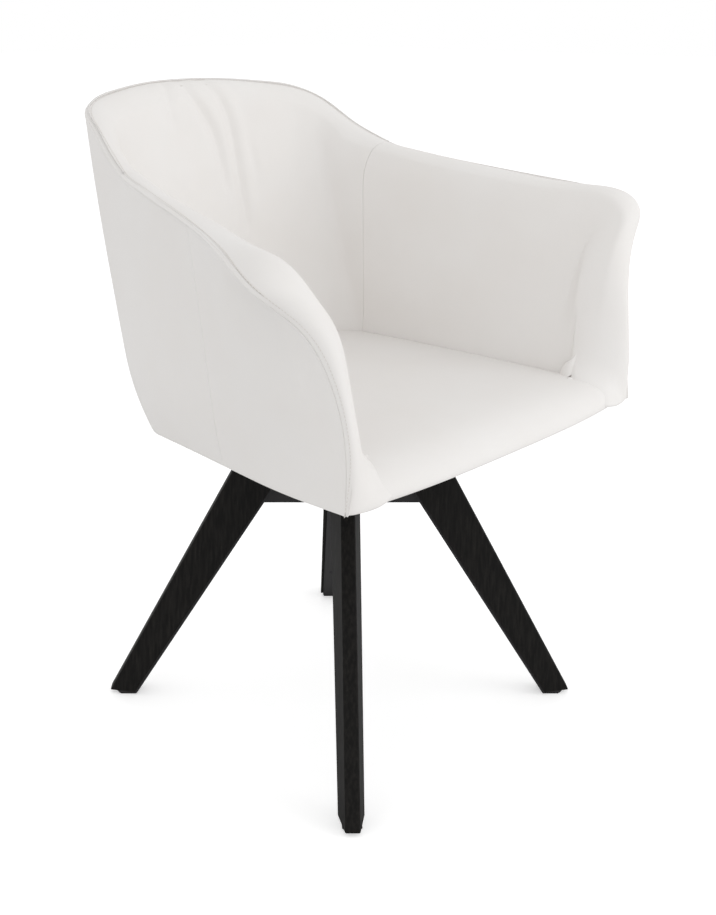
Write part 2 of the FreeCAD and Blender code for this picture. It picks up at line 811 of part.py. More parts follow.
def profile_edges():
    back = seen_from_side("back_reach", "back_height")
    shoulder = seen_from_side("shoulder_y", "shoulder_height")
    sweep = seen_from_side("sweep_y", "sweep_height")
    rear = seen_from_side("arm_rear_y", "arm_rear_height")
    arm = Vector(0, 0, size("arm_middle_height"))
    fore = seen_from_side("arm_fore_y", "arm_fore_height")
    tip = seen_from_side("tip_y", "tip_height")
    under = seen_from_side("tip_under_y", "tip_under_height")
    brow = seen_from_side("brow_y", "brow_height")
    edge = seen_from_side("front_edge_y", "front_edge_height")
    return [
        Part.LineSegment(Vector(0, FAR, back.z), back).toShape(),
        bowed(back, shoulder, size("crest_bow")),
        Part.Arc(shoulder, sweep, rear).toShape(),
        Part.Arc(rear, arm, fore).toShape(),
        bowed(fore, tip, size("fore_bow")),
        bowed(tip, under, size("nose_bow")),
        Part.Arc(under, brow, edge).toShape(),
        Part.LineSegment(edge, Vector(0, edge.y, 0)).toShape(),
    ]


def profile_block():
    """Everything behind and below the seam, seen from the side."""
    edges = profile_edges()
    start, end = edges[0].Vertexes[0].Point, edges[-1].Vertexes[-1].Point
    corner = Vector(0, start.y, end.z)
    edges += [Part.LineSegment(end, corner).toShape(), Part.LineSegment(corner, start).toShape()]
    face = Part.Face(Part.Wire(edges))
    face.translate(Vector(-FAR, 0, 0))
    return face.extrude(Vector(2 * FAR, 0, 0))


seam_block = profile_block()
# The seam faces forwards and up all along, so a step back and down clears it everywhere
panel_block = seam_block.translated(Vector(0, size("rim_gap"), -size("rim_gap"))).cut(slab(-FAR, 0))


def above_hem(height):
    return slab(height, FAR)


outer_tub = tub(outer_outline, 0)
inner_tub = tub(inner_outline, 0)
cover_inside = size("cover_thickness")
shell_outside = cover_inside + size("layer_gap")
shell_inside = shell_outside + size("shell_thickness")
lining_outside = shell_inside + size("layer_gap")
shell_cavity = tub(outer_outline, shell_inside)


def block(low, high):
    return Part.makeBox(high.x - low.x, high.y - low.y, high.z - low.z, low)


def largest(shape):
    return max(shape.Solids, key=lambda solid: solid.Volume)


def behind_plane(y, slope, shift):
    """Space behind a plane across the chair that leans forward with height."""
    low, high = (Vector(0, y + shift - slope * (level - size("hem_height")), level) for level in (0, FAR))
    corners = [low, high, Vector(0, FAR, FAR), Vector(0, FAR, 0)]
    face = Part.Face(Part.makePolygon(corners + corners[:1]))
    face.translate(Vector(-FAR, 0, 0))
    return face.extrude(Vector(2 * FAR, 0, 0))


def left_half():
    return block(Vector(0, -FAR, 0), Vector(FAR, FAR, FAR))


def right_twin(shape):
    return shape.mirror(Vector(0, 0, 0), Vector(1, 0, 0))


def split_and_keep(layer, seam_y, slope, back_name, arm_name):
    """Back panel and two arm panels, a hair apart at their seams."""
    half_gap = size("layer_gap") / 2
    solid_feature(back_name, largest(layer.common(behind_plane(seam_y, slope, half_gap))))
    fore = layer.cut(behind_plane(seam_y, slope, -half_gap))
    arm = largest(fore.common(left_half()))
    solid_feature(arm_name + "_left", arm)
    solid_feature(arm_name + "_right", right_twin(arm))


# Outer leather covers on thin foam
cover_layer = outer_tub.cut(tub(outer_outline, cover_inside)).common(panel_block)
split_and_keep(cover_layer, size("cover_seam_y"), size("cover_seam_slope"), "outer_back_cover", "outer_arm_cover")


# Moulded shell: wall and floor in one, recessed underneath for the dust cover
def make_shell():
    shell = tub(outer_outline, shell_outside).common(panel_block)
    shell = shell.cut(shell_cavity.common(above_hem(size("floor_top"))))
    shell = shell.cut(shell_cavity.common(slab(-FAR, size("floor_recess"))))
    barrel = Part.makeCylinder(size("nut_barrel_radius") + screw_slack, size("floor_top"))
    seat = Part.makeCylinder(size("nut_flange_radius") + screw_slack, size("nut_flange"),
                             Vector(0, 0, size("floor_top") - size("nut_flange")))
    solid_feature("tub_shell", largest(shell.cut(at_bolts(barrel) + at_bolts(seat))))


make_shell()


def make_dust_cover():
    gap = size("layer_gap")
    sheet = tub(outer_outline, shell_inside + gap).common(panel_block)
    low = size("floor_recess") - size("dust_cover_thickness")
    sheet = sheet.common(slab(low, size("floor_recess")))
    opening = size("plate_half") + 2
    sheet = sheet.cut(raked(block(Vector(-opening, -opening, -5), Vector(opening, opening, 5))))
    solid_feature("dust_cover", largest(sheet))


make_dust_cover()

# Inner pads between the shell and the sitter
lining = tub(outer_outline, lining_outside).cut(inner_tub)
lining = lining.common(panel_block).common(above_hem(size("floor_top")))
split_and_keep(lining, size("lining_seam_y"), 0, "inner_back_pad", "inner_arm_pad")


# Rim roll: stations along the outer seam, each a bowed section from the outer seam to the inner face
def reach(shape, start, end):
    """Last point of a straight line that lies in a shape."""
    inside = shape.common(Part.LineSegment(start, end).toShape())
    return max((vertex.Point for vertex in inside.Vertexes), key=start.distanceToPoint)


def seam_height(y):
    return reach(seam_block, Vector(0, y, size("leg_crown")), Vector(0, y, FAR)).z


def seam_pair_on_ray(angle):
    """Outer and inner rim points on a ray from the middle of the back, seen in plan."""
    origin = Vector(0, size("ray_start_y"), 0)
    points = []
    for body in (outer_tub, inner_tub):
        level = size("shoulder_height")
        for _ in range(4):
            start = origin + Vector(0, 0, level)
            point = reach(body, start, start + facing(angle) * FAR)
            level = seam_height(point.y)
        points.append(Vector(point.x, point.y, level))
    return points


def seam_pair_at(y, level):
    """Outer and inner rim points on a line straight across an arm."""
    start = Vector(size("front_half") / 2, y, level)
    end = Vector(FAR, y, level)
    return [reach(outer_tub, start, end), reach(inner_tub, start, end)]


def profile_point(edge, share):
    first, last = edge.ParameterRange
    point = edge.valueAt(first + (last - first) * share)
    return point.y, point.z


def arm_places():
    """Seam places from the rear of the arm, round the tip and down the front."""
    edges = profile_edges()
    first, last = size("rim_seam_y") + size("roll_overrun"), size("arm_fore_y") + size("roll_overrun")
    steps = [first + (last - first) * share / 5 for share in range(6)]
    places = [(y, seam_height(y)) for y in steps]
    for edge, shares in ((edges[4], (0.1, 0.55, 1)), (edges[5], (0.35, 0.7, 1)), (edges[6], (0.2, 0.5, 0.8))):
        places += [profile_point(edge, share) for share in shares]
    front, high, low = size("front_edge_y"), size("front_edge_height"), hem_at(size("front_edge_y"))
    places += [(front, high + (low - high) * share) for share in (0.1, 0.6, 1.15)]
    return places


def roll_section(outer, inner, travel, rise):
    """Bowed cap over the line from the outer seam to the inner face, with a root below it."""
    across = (inner - outer).normalize()
    normal = across.cross(travel).normalize()
    crest = outer + (inner - outer) * size("roll_crest_share") + normal * rise
    root = normal * size("roll_root")
    corners = [inner, inner - root, outer - root, outer]
    edges = [Part.Arc(outer, crest, inner).toShape()]
    edges += [Part.LineSegment(a, b).toShape() for a, b in zip(corners, corners[1:])]
    return Part.Wire(edges)


def smooth_line(points, marks):
    curve = Part.BSplineCurve()
    curve.interpolate(Points=points, Parameters=marks)
    return curve


def roll_solid(pairs, rises):
    """Roll through even stations of smooth lines drawn along the outer and inner rim points."""
    middles = [(outer + inner) * 0.5 for outer, inner in pairs]
    marks = [0.0]
    for start, end in zip(middles, middles[1:]):
        marks.append(marks[-1] + start.distanceToPoint(end))
    outer_line = smooth_line([outer for outer, _ in pairs], marks)
    inner_line = smooth_line([inner for _, inner in pairs], marks)
    rise_line = smooth_line([Vector(mark, rise, 0) for mark, rise in zip(marks, rises)], marks)
    count = round(marks[-1] / size("roll_station_step"))
    sections = []
    for station in range(count + 1):
        mark = marks[-1] * station / count
        travel = outer_line.tangent(mark)[0] + inner_line.tangent(mark)[0]
        sections.append(roll_section(outer_line.value(mark), inner_line.value(mark), travel, rise_line.value(mark).y))
    return Part.makeLoft(sections, True, False, False, 3)


def roll_rise_at(y, level):
    """Rise of the roll: low at the rear, full at the tip, low down the front."""
    if level > size("tip_height"):
        share = (size("rim_seam_y") - y) / (size("rim_seam_y") - size("tip_y"))
        return size("roll_rise_arm") + (size("roll_rise_tip") - size("roll_rise_arm")) * max(0, share) ** 2
    share = (level - size("front_edge_height")) / (size("tip_height") - size("front_edge_height"))
    return size("roll_rise_front") + (size("roll_rise_tip") - size("roll_rise_front")) * max(0, share)


def make_rolls():
    clear = seam_block.fuse(slab(-FAR, 0))
    half_gap = size("layer_gap") / 2
    places = arm_places()
    pairs = [seam_pair_at(y, level) for y, level in places]
    rises = [roll_rise_at(y, level) for y, level in places]
    arm = roll_solid(pairs, rises).cut([clear, behind_plane(size("rim_seam_y"), 0, -half_gap)])
    solid_feature("rim_roll_left", largest(arm))
    solid_feature("rim_roll_right", right_twin(largest(arm)))
    half = [seam_pair_on_ray(angle) for angle in (6, 20, 34, 44, 52)]
    sweep = (size("sweep_y"), size("rim_seam_y") - size("roll_overrun"))
    half += [seam_pair_at(place, seam_height(place)) for place in sweep]
    mirrored = [[Vector(-point.x, point.y, point.z) for point in pair] for pair in reversed(half)]
    rises = [size("roll_rise_back")] * (2 * len(half) - 1)
    rises[0] = rises[-1] = size("roll_rise_arm")
    back = roll_solid(mirrored[:-1] + [seam_pair_on_ray(0)] + half[1:], rises)
    back = back.cut(seam_block).common(behind_plane(size("rim_seam_y"), 0, half_gap))
    solid_feature("rim_roll_back", largest(back))


make_rolls()


# Seat cushion: crowned both ways, with a front edge that rolls down over the floor's front
def cushion_section(x):
    share = (x / size("front_half")) ** 2
    crown = size("seat_height") - size("seat_sag") * share
    front = size("seat_front_y") + size("seat_front_bow") * share
    rear = size("seat_back_y")
    base = size("floor_top") / math.cos(math.radians(size("shell_rake")))
    lip = size("front_edge_y") - 2 * size("rim_gap")
    roll = size("seat_roll_start")
    chin = Vector(x, front, crown - size("seat_roll_drop"))
    start = Vector(x, roll, crown - size("seat_nose_drop"))
    knuckle = Vector(x, roll + (front - roll) * size("seat_knuckle_run"),
                     crown - size("seat_roll_drop") * size("seat_knuckle_drop"))
    corners = [
        chin, Vector(x, front, hem_at(front)), Vector(x, lip, hem_at(lip)), Vector(x, lip, hem_at(lip) + base),
        Vector(x, rear, hem_at(rear) + base), Vector(x, rear, crown - size("seat_rear_drop")),
    ]
    edges = [Part.LineSegment(a, b).toShape() for a, b in zip(corners, corners[1:])]
    edges.append(Part.Arc(corners[-1], Vector(x, (rear + roll) / 2, crown), start).toShape())
    edges.append(Part.Arc(start, knuckle, chin).toShape())
    return Part.Wire(edges)


def make_cushion():
    half = size("front_half")
    blank = Part.makeLoft([cushion_section(half * step / 2) for step in range(-2, 3)], True, False)
    inside = tub(inner_outline, size("layer_gap"))
    solid_feature("seat_cushion", largest(blank.common(inside)))


make_cushion()

# Check every object, then write each sub-part
doc.recompute()
for item in doc.Objects:
    faults = [word for word in item.State if word in ("Invalid", "Error")]
    if faults:
        raise RuntimeError(f"{item.Label} is {faults}")
for item in nodes:
    if item.Shape.isNull() or not item.Shape.isValid() or not item.Shape.Solids:
        raise RuntimeError(f"{item.Label} has no valid solid")
for item in nodes:
    item.Shape.exportStep(f"parts/{item.Label}.step")
    print(f"{item.Label}: {len(item.Shape.Solids)} solid, {item.Shape.Volume / 1000:.1f} cm3")
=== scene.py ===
# %% [markdown]
# A leather tub armchair that swivels on splayed legs of black-stained oak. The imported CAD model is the
# fixed frame: steel, wood, spindle and ball race come from it as they are. The upholstery is built here,
# because tight leather over foam needs seams, folds and soft edges that plain solids don't have.

# %% Load the frame and keep its box
import json
import math

import bmesh
import bpy
import numpy as np
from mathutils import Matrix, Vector
from mathutils.bvhtree import BVHTree

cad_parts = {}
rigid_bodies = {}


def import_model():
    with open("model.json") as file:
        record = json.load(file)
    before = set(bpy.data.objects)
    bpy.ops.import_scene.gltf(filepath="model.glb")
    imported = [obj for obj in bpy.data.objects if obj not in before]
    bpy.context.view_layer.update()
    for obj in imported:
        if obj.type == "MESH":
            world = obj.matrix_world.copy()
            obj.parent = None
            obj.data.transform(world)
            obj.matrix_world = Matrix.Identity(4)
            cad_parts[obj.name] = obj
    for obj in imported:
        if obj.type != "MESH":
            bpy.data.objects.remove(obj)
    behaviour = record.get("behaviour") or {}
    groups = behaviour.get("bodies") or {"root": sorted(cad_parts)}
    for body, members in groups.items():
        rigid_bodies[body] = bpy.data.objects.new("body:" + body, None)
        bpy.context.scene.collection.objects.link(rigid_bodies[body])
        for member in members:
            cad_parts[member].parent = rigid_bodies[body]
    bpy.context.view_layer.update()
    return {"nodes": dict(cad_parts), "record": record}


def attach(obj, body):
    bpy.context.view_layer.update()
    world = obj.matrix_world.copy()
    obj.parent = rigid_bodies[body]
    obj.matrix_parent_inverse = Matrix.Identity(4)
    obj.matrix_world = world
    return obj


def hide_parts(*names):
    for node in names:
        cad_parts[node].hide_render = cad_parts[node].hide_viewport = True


for leftover in list(bpy.data.objects):
    bpy.data.objects.remove(leftover)
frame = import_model()

# %% [markdown]
# The leather shell of the chair is a tub. Seen from above, each level of it is a chain of arcs that meet
# smoothly: the curved back, a tight rear corner, the arm, and the arm's flared front end. Every
# upholstered piece starts from that outline, so the seams of neighbouring pieces always meet. All
# lengths below are millimetres, turned to metres only when a mesh is made.

# %% Arcs that meet smoothly
MM = 0.001
HEM = 405.3          # height of the lower edge under the swivel axis
HEM_SLOPE = math.tan(math.radians(3.3))
TOP = 830.0


def lerp(a, b, share):
    return a + (b - a) * share


def along(low, high, level):
    """Value at a level, given its values at the hem and at the top."""
    return low + (high - low) * (level - HEM) / (TOP - HEM)


def facing(degrees):
    """Direction in plan, turned from the back towards the arm."""
    turned = np.radians(degrees)
    return np.stack([np.sin(turned), np.cos(turned)], axis=-1)


def rotate(direction, angle):
    c, s = np.cos(angle), np.sin(angle)
    return np.stack([direction[..., 0] * c - direction[..., 1] * s,
                     direction[..., 0] * s + direction[..., 1] * c], axis=-1)


def tangent_arc(start, direction, end, steps):
    """Points of the arc that leaves start in a direction and reaches end, and its direction there."""
    chord = end - start
    length = np.linalg.norm(chord, axis=-1)
    turn = np.arctan2(direction[:, 0] * chord[:, 1] - direction[:, 1] * chord[:, 0],
                      (direction * chord).sum(-1))
    share = np.linspace(0, 1, steps)
    safe = np.where(np.abs(turn) < 1e-4, 1e-4, turn)
    reach = np.sin(share[None] * safe[:, None]) / np.sin(safe)[:, None] * length[:, None]
    aim = rotate(direction[:, None], share[None] * safe[:, None])
    return start[:, None] + aim * reach[..., None], rotate(direction, 2 * turn)


print("hem at", HEM, "mm, top at", TOP, "mm")

# %% Tub outline in plan
ARC_STEPS = (40, 40, 60, 60)             # points along the back, the corner, the arm and its front end
CORNER_X, CORNER_Y = 217, 158            # rear corner at the hem
TUCK, TUCK_HEIGHT = 15, 90.0             # the corner draws in below this height over the hem
LEAN_LOW, LEAN_HIGH = 18.5, 9.7          # degrees the back leans at the hem and at the top
BACK_TURN = 24                           # degrees that half the back's arc turns through
ARM_X, ARM_Y, ARM_LEAN = 261, -100.0, 13
FRONT_X, FLARE, FLARE_POWER = 280, 115, 2.5
FLARE_LOW, FLARE_HIGH = 535, 671         # levels between which the front end swings out
FOAM_AT_CORNER, FOAM_AT_ARM, FOAM_AT_FRONT = 34, 56, 49
INNER_RADIUS, OUTER_RADIUS = 26.0, (60, 40)
INNER_TURN, OUTER_TURN = (84, 74), (80.5, 72)    # degrees turned where the arm starts, at hem and top
FRONT_Y, INNER_FRONT_Y = -270.0, -290.0


def half_outline(level, inner, inset=0.0):
    """Half outline from the middle of the back to the arm's front, one row of points for each level."""
    rise = level - HEM
    tuck = np.clip(1 - rise / TUCK_HEIGHT, 0, None)
    low, high = math.tan(math.radians(LEAN_LOW)), math.tan(math.radians(LEAN_HIGH))
    lean = low * rise - (low - high) * rise ** 2 / (2 * (TOP - HEM))
    corner = np.stack([CORNER_X - TUCK * tuck ** 2, CORNER_Y + lean], axis=-1)
    corner = corner - facing(45) * (inset + (FOAM_AT_CORNER if inner else 0))
    radius = np.full_like(level, INNER_RADIUS) if inner else along(*OUTER_RADIUS, level) - inset
    arm_angle = along(*(INNER_TURN if inner else OUTER_TURN), level)
    share = (level - FLARE_LOW) / (FLARE_HIGH - FLARE_LOW)
    flare = FLARE * np.where(share < 1, np.clip(share, 0, None) ** FLARE_POWER, share)
    arm_x = ARM_X + rise * math.tan(math.radians(ARM_LEAN)) - inset - (FOAM_AT_ARM if inner else 0)
    front_x = FRONT_X + flare - inset - (FOAM_AT_FRONT if inner else 0)
    centre = corner - facing(45) * radius[:, None]
    back_end = centre + facing(BACK_TURN) * radius[:, None]
    back_radius = back_end[:, 0] / math.sin(math.radians(BACK_TURN))
    back_y = back_end[:, 1] - back_radius * math.cos(math.radians(BACK_TURN))
    turns = np.radians(np.linspace(0, BACK_TURN, ARC_STEPS[0]))
    back = np.stack([back_radius[:, None] * np.sin(turns),
                     back_y[:, None] + back_radius[:, None] * np.cos(turns)], -1)
    spread = BACK_TURN + (arm_angle - BACK_TURN)[:, None] * np.linspace(0, 1, ARC_STEPS[1])
    bend = centre[:, None] + facing(spread) * radius[:, None, None]
    heading = np.stack([np.cos(np.radians(arm_angle)), -np.sin(np.radians(arm_angle))], -1)
    middle = np.stack([arm_x, np.full_like(level, ARM_Y)], -1)
    front = np.stack([front_x, np.full_like(level, INNER_FRONT_Y if inner else FRONT_Y)], -1)
    arm, direction = tangent_arc(bend[:, -1], heading, middle, ARC_STEPS[2])
    fore, _ = tangent_arc(middle, direction, front, ARC_STEPS[3])
    return np.concatenate([back, bend[:, 1:], arm[:, 1:], fore[:, 1:]], axis=1)


def wall_points(origin_y, bearing, level, inner, inset=0.0):
    """Where level rays from the middle plane, turned from +Y towards +X, meet the tub's wall."""
    shape = np.broadcast(origin_y, bearing, level).shape
    origin, angle, height = (np.broadcast_to(v, shape).ravel().astype(float)
                             for v in (origin_y, bearing, level))
    line = half_outline(height, inner, inset)
    sine, cosine = np.sin(np.radians(angle))[:, None], np.cos(np.radians(angle))[:, None]
    side = line[..., 0] * cosine - (line[..., 1] - origin[:, None]) * sine
    index = np.argmax((side[:, :-1] <= 0) & (side[:, 1:] > 0), axis=1)
    rows = np.arange(len(index))
    before, after = side[rows, index], side[rows, index + 1]
    share = (-before / (after - before))[:, None]
    point = line[rows, index] * (1 - share) + line[rows, index + 1] * share
    return np.concatenate([point, height[:, None]], axis=1).reshape(shape + (3,))


print("back at 700 mm: outside", wall_points(60.0, 0.0, 700.0, False).round(1),
      "inside", wall_points(60.0, 0.0, 700.0, True).round(1))

# %% [markdown]
# One seam runs round the whole rim: from the front foot of an arm up to its flared tip, along the arm and
# round the back. The table gives half of it as the chair's maker would mark it on the frame. Each station
# also says where its line of leather starts at the hem and where it ends at the seat, so that the panels
# fan out round the arm's tip the way the leather is stretched there.

# %% Stations along the rim seam
# Seam x, y, z; ray origins on the middle plane at the seam, the hem and the seat; then the section of the
# roll: rises of its first and second control point, how far the first stands in, and the depth where the
# roll meets the inner wall
STATIONS = np.array([
    (0, 319, 830, 60, 60, 60, 4, -20, 0.45, 48),
    (73, 315, 828, 60, 60, 60, 4, -20, 0.45, 48),
    (142, 295, 822, 60, 60, 60, 4, -20, 0.45, 48),
    (182, 280, 816, 60, 60, 60, 4, -20, 0.45, 48),
    (210, 259, 804, 62, 62, 62, 4, -19, 0.45, 47),
    (222, 227, 785, 80, 78, 78, 4, -17, 0.42, 45),
    (231, 194, 763, 115, 98, 104, 4, -13, 0.40, 42),
    (243, 160, 745, 142, 112, 136, 6, -4, 0.34, 38),
    (254, 129, 731, 129, 118, 131, 12, 10, 0.22, 34),
    (263.5, 98, 724.5, 98, 92, 103, 11, 10, 0.24, 32),
    (272, 70, 719.7, 70, 66, 74, 8, 8, 0.28, 30),
    (281, 41, 715.4, 41, 40, 44, 6, 7, 0.30, 28),
    (289.6, 12, 711.5, 12, 16, 16, 5, 7, 0.30, 28),
    (305.6, -38, 704.6, -38, -30, -32, 5, 8, 0.30, 28),
    (322, -83, 698, -83, -72, -76, 6, 9, 0.28, 28),
    (340.7, -126, 691, -126, -112, -116, 10, 14, 0.20, 28),
    (357.7, -163.5, 683, -163.5, -146, -142, 18, 26, 0.10, 28),
    (367.1, -189.6, 674.8, -189.6, -168, -160, 26, 34, 0.02, 28),
    (368.4, -199, 670, -199, -176, -165, 28, 36, 0.0, 28),
    (365, -209.7, 662, -209.7, -186, -171, 28, 35, 0.0, 28),
    (354.6, -216, 653, -216, -194, -177, 26, 33, 0.0, 28),
    (337, -221, 640, -221, -202, -183, 24, 25, 0.0, 28),
    (315, -227.5, 620, -227.5, -212, -189, 25, 14, 0.02, 31),
    (297, -235, 593, -235, -221, -195, 26, 2, 0.03, 36),
    (284.5, -245, 550, -245, -232, -202, 26, -14, 0.03, 42),
    (279, -252, 510, -252, -240, -208, 26, -22, 0.03, 46),
    (278, -255.5, 475, -255.5, -247, -214, 26, -18, 0.03, 44),
    (279, -256, 445, -256, -252, -224, 21, -4, 0.055, 36),
    (281, -256, 420.5, -256, -256, -236, 14, 10, 0.09, 22),
])
SEAM_STEP = 7.0          # distance between the finished stations
LINING_SEAM_Y = 136      # where the lining of the back meets the lining of the arm, on the arm's height
ABOVE_ARMS = 780


def natural_spline(marks, values, wanted):
    """Smooth curve through values given at marks, read at the wanted marks."""
    marks, values = np.asarray(marks, float), np.asarray(values, float)
    gap = np.diff(marks)
    count = len(marks)
    matrix, right = np.eye(count), np.zeros_like(values)
    for i in range(1, count - 1):
        matrix[i, i - 1:i + 2] = gap[i - 1], 2 * (gap[i - 1] + gap[i]), gap[i]
        right[i] = 6 * ((values[i + 1] - values[i]) / gap[i] - (values[i] - values[i - 1]) / gap[i - 1])
    second = np.linalg.solve(matrix, right)
    index = np.clip(np.searchsorted(marks, wanted, side="right") - 1, 0, count - 2)
    step = gap[index][:, None]
    a = (marks[index + 1] - wanted)[:, None] / step
    b = 1 - a
    bend = ((a ** 3 - a) * second[index] + (b ** 3 - b) * second[index + 1]) * step ** 2 / 6
    return a * values[index] + b * values[index + 1] + bend


def seam_stations():
    """Even stations along the seam, mirrored across the middle so that the spline is level there."""
    mirrored = STATIONS[:0:-1].copy()
    mirrored[:, 0] *= -1
    table = np.concatenate([mirrored, STATIONS])
    marks = np.concatenate([[0], np.cumsum(np.linalg.norm(np.diff(table[:, :3], axis=0), axis=1))])
    marks -= marks[len(STATIONS) - 1]
    count = round(marks[-1] / SEAM_STEP)
    wanted = np.linspace(0, marks[-1], count + 1)
    return marks[-1], natural_spline(marks, table, wanted)


def nearest_station(gap, elsewhere):
    """Number of the station with the smallest gap, leaving out those that lie elsewhere."""
    return int(np.argmin(np.abs(gap) + 1000 * elsewhere))


half_seam, stations = seam_stations()
seam = stations[:, :3]
seam_ray, hem_ray, seat_ray, first_rise, second_rise, stand_in, roll_depth = stations[:, 3:].T
travel = np.gradient(seam, axis=0)
travel /= np.linalg.norm(travel, axis=1)[:, None]
lining_split = nearest_station(seam[:, 1] - LINING_SEAM_Y, seam[:, 2] > ABOVE_ARMS)
print("half seam", round(float(half_seam)), "mm in", len(seam), "stations, lining seam at", lining_split)

# %% [markdown]
# The outer leather is one skin from the hem to the seam. Between those two lines it follows the tub's
# outer wall. Rows of points crowd beside the seam, because the folded edges raise a small welt there that
# only close rows can show.

# %% Outer wall from the hem to the seam
OUTER_ROWS = 40
LAST_EVEN_ROW = 0.98                                             # share of the height below the close rows
BESIDE_SEAM = np.array([9, 6.4, 4.6, 3.4, 2.5, 1.7, 1.0, 0.4])   # distances of the close rows
LOW_PANEL = 60                                                   # below this height they draw together
seam_bearing = np.degrees(np.arctan2(np.abs(seam[:, 0]), seam[:, 1] - seam_ray))


def hem_height(y):
    return HEM - HEM_SLOPE * y


def near_seam(height):
    """Distances of the extra rows beside the seam, shortened where the panel is low."""
    return np.minimum(1, height[:, None] / LOW_PANEL) * BESIDE_SEAM


def relax(grid, passes):
    """Evens a grid out along its stations and keeps the first and last one."""
    for _ in range(passes):
        moved = grid.copy()
        moved[1:-1] = (grid[:-2] + 2 * grid[1:-1] + grid[2:]) / 4
        grid = moved
    return grid


def outer_grid():
    """Outer wall, one line of points for each station, from the hem to the seam."""
    close = 1 - near_seam(panel_height) / panel_height[:, None]
    even = np.linspace(0, 1, OUTER_ROWS)[None] * close[:, :1] * LAST_EVEN_ROW
    share = np.concatenate([even, close, np.ones((len(seam), 1))], axis=1)
    origin = lerp(hem_ray[:, None], seam_ray[:, None], share)
    hem = wall_points(hem_ray, seam_bearing, hem_height(hem_ray), False)
    level = lerp(hem_height(hem[:, 1])[:, None], seam[:, 2:3], share)
    grid = wall_points(origin, seam_bearing[:, None], level, False)
    miss = seam[:, None] - grid[:, -1:]
    return grid + miss * share[..., None] ** 2


panel_height = seam[:, 2] - hem_height(seam[:, 1])
outer_wall = relax(outer_grid(), 2)
print("outer wall", outer_wall.shape, "points")

# %% [markdown]
# On the sitter's side the leather rolls over the foam at the rim and then runs down the inner wall. The
# roll's section is one smooth curve with two control points at each station. It could be a round tube
# along the rim, but the real roll is fat on the back, thin along the arm and wide at the arm's tip.

# %% Roll and inner wall
INNER_ROWS, ROLL_ROWS = 40, 16
SEAT_JOIN = 448.0        # the lining ends just below the seat's surface
LOWEST_ROLL = 400
INNER_SPACING = 1.15     # above 1 the inner rows crowd under the roll
inner_level = wall_points(seam_ray, seam_bearing, seam[:, 2], True)
seam_miss = seam - wall_points(seam_ray, seam_bearing, seam[:, 2], False)
rim = inner_level + seam_miss
across = rim - seam
up = np.cross(across, travel)
up /= np.linalg.norm(up, axis=1)[:, None]


def roll_end():
    """Where the roll meets the inner wall, at a depth square to the seam, and the ray's origin there."""
    aim = inner_level - up * roll_depth[:, None]
    side = np.sin(np.radians(seam_bearing)) ** 2
    start = seam_ray + (aim[:, 1] - inner_level[:, 1]) * side
    level = np.maximum(aim[:, 2], LOWEST_ROLL)
    return wall_points(start, seam_bearing, level, True) + seam_miss * 0.9, start


def inner_grid():
    """Inner wall from the end of the roll down to just below the seat's surface."""
    share = np.linspace(0, 1, INNER_ROWS)[None] ** INNER_SPACING
    foot = np.minimum(SEAT_JOIN, roll_foot[:, 2] - 6)
    level = lerp(roll_foot[:, 2:3], foot[:, None], share)
    origin = lerp(roll_ray[:, None], seat_ray[:, None], share)
    grid = wall_points(origin, seam_bearing[:, None], level, True)
    miss = roll_foot[:, None] - grid[:, :1]
    return grid + miss * (1 - share[..., None]) ** 2


def roll_grid():
    """The roll's section at each station: one smooth curve from the seam over to the inner wall."""
    first = seam + across * stand_in[:, None] + up * first_rise[:, None]
    second = roll_foot + up * (roll_depth + second_rise)[:, None]
    reach = np.linalg.norm(first - seam, axis=1)
    close = near_seam(panel_height)[:, ::-1] / (3 * reach[:, None])
    even = lerp(close[:, -1:], 1.0, np.linspace(0, 1, ROLL_ROWS)[None, 1:])
    t = np.concatenate([np.zeros((len(seam), 1)), close, even], axis=1)[..., None]
    a, b, c, d = (p[:, None] for p in (seam, first, second, roll_foot))
    return (1 - t) ** 3 * a + 3 * (1 - t) ** 2 * t * b + 3 * (1 - t) * t ** 2 * c + t ** 3 * d


roll_foot, roll_ray = roll_end()
lining = relax(np.concatenate([roll_grid()[:, :-1], inner_grid()], axis=1), 2)
print("lining", lining.shape, "points")

# %% [markdown]
# Where the roll runs into the inner wall the foam is soft, so the leather bridges the bend. Those rows are
# evened out, except low on the arms, where the roll becomes the tight front band.

# %% Soften the foot of the roll
SOFT_ROWS = slice(ROLL_ROWS + 1, ROLL_ROWS + 16)
BAND_TOP, BAND_FADE = 500, 60
softened = relax(lining[:, SOFT_ROWS].swapaxes(0, 1), 25).swapaxes(0, 1)
soft_share = np.clip((seam[:, 2] - BAND_TOP) / BAND_FADE, 0, 1)[:, None, None]
moved_most = np.abs(softened - lining[:, SOFT_ROWS]).max()
lining[:, SOFT_ROWS] = lerp(lining[:, SOFT_ROWS], softened, soft_share)
print("foot of the roll moved by up to", round(float(moved_most), 1), "mm")

# %% [markdown]
# A panel of leather is a grid of points with a face between each four. Solidify gives it the depth of its
# foam and closes it at the border, and Subdivision Surface rounds it off. Both are then turned into plain
# mesh.

# %% Mesh helpers
MERGE = 0.2              # points closer than this become one


def mirror_x(grid):
    return grid * np.array([-1.0, 1.0, 1.0])


def both_halves(half):
    """A half from the middle outwards, with its mirror image put before it."""
    return np.concatenate([mirror_x(half[:0:-1]), half])


def placed(name, data):
    """New object in the scene."""
    thing = bpy.data.objects.new(name, data)
    bpy.context.scene.collection.objects.link(thing)
    return thing


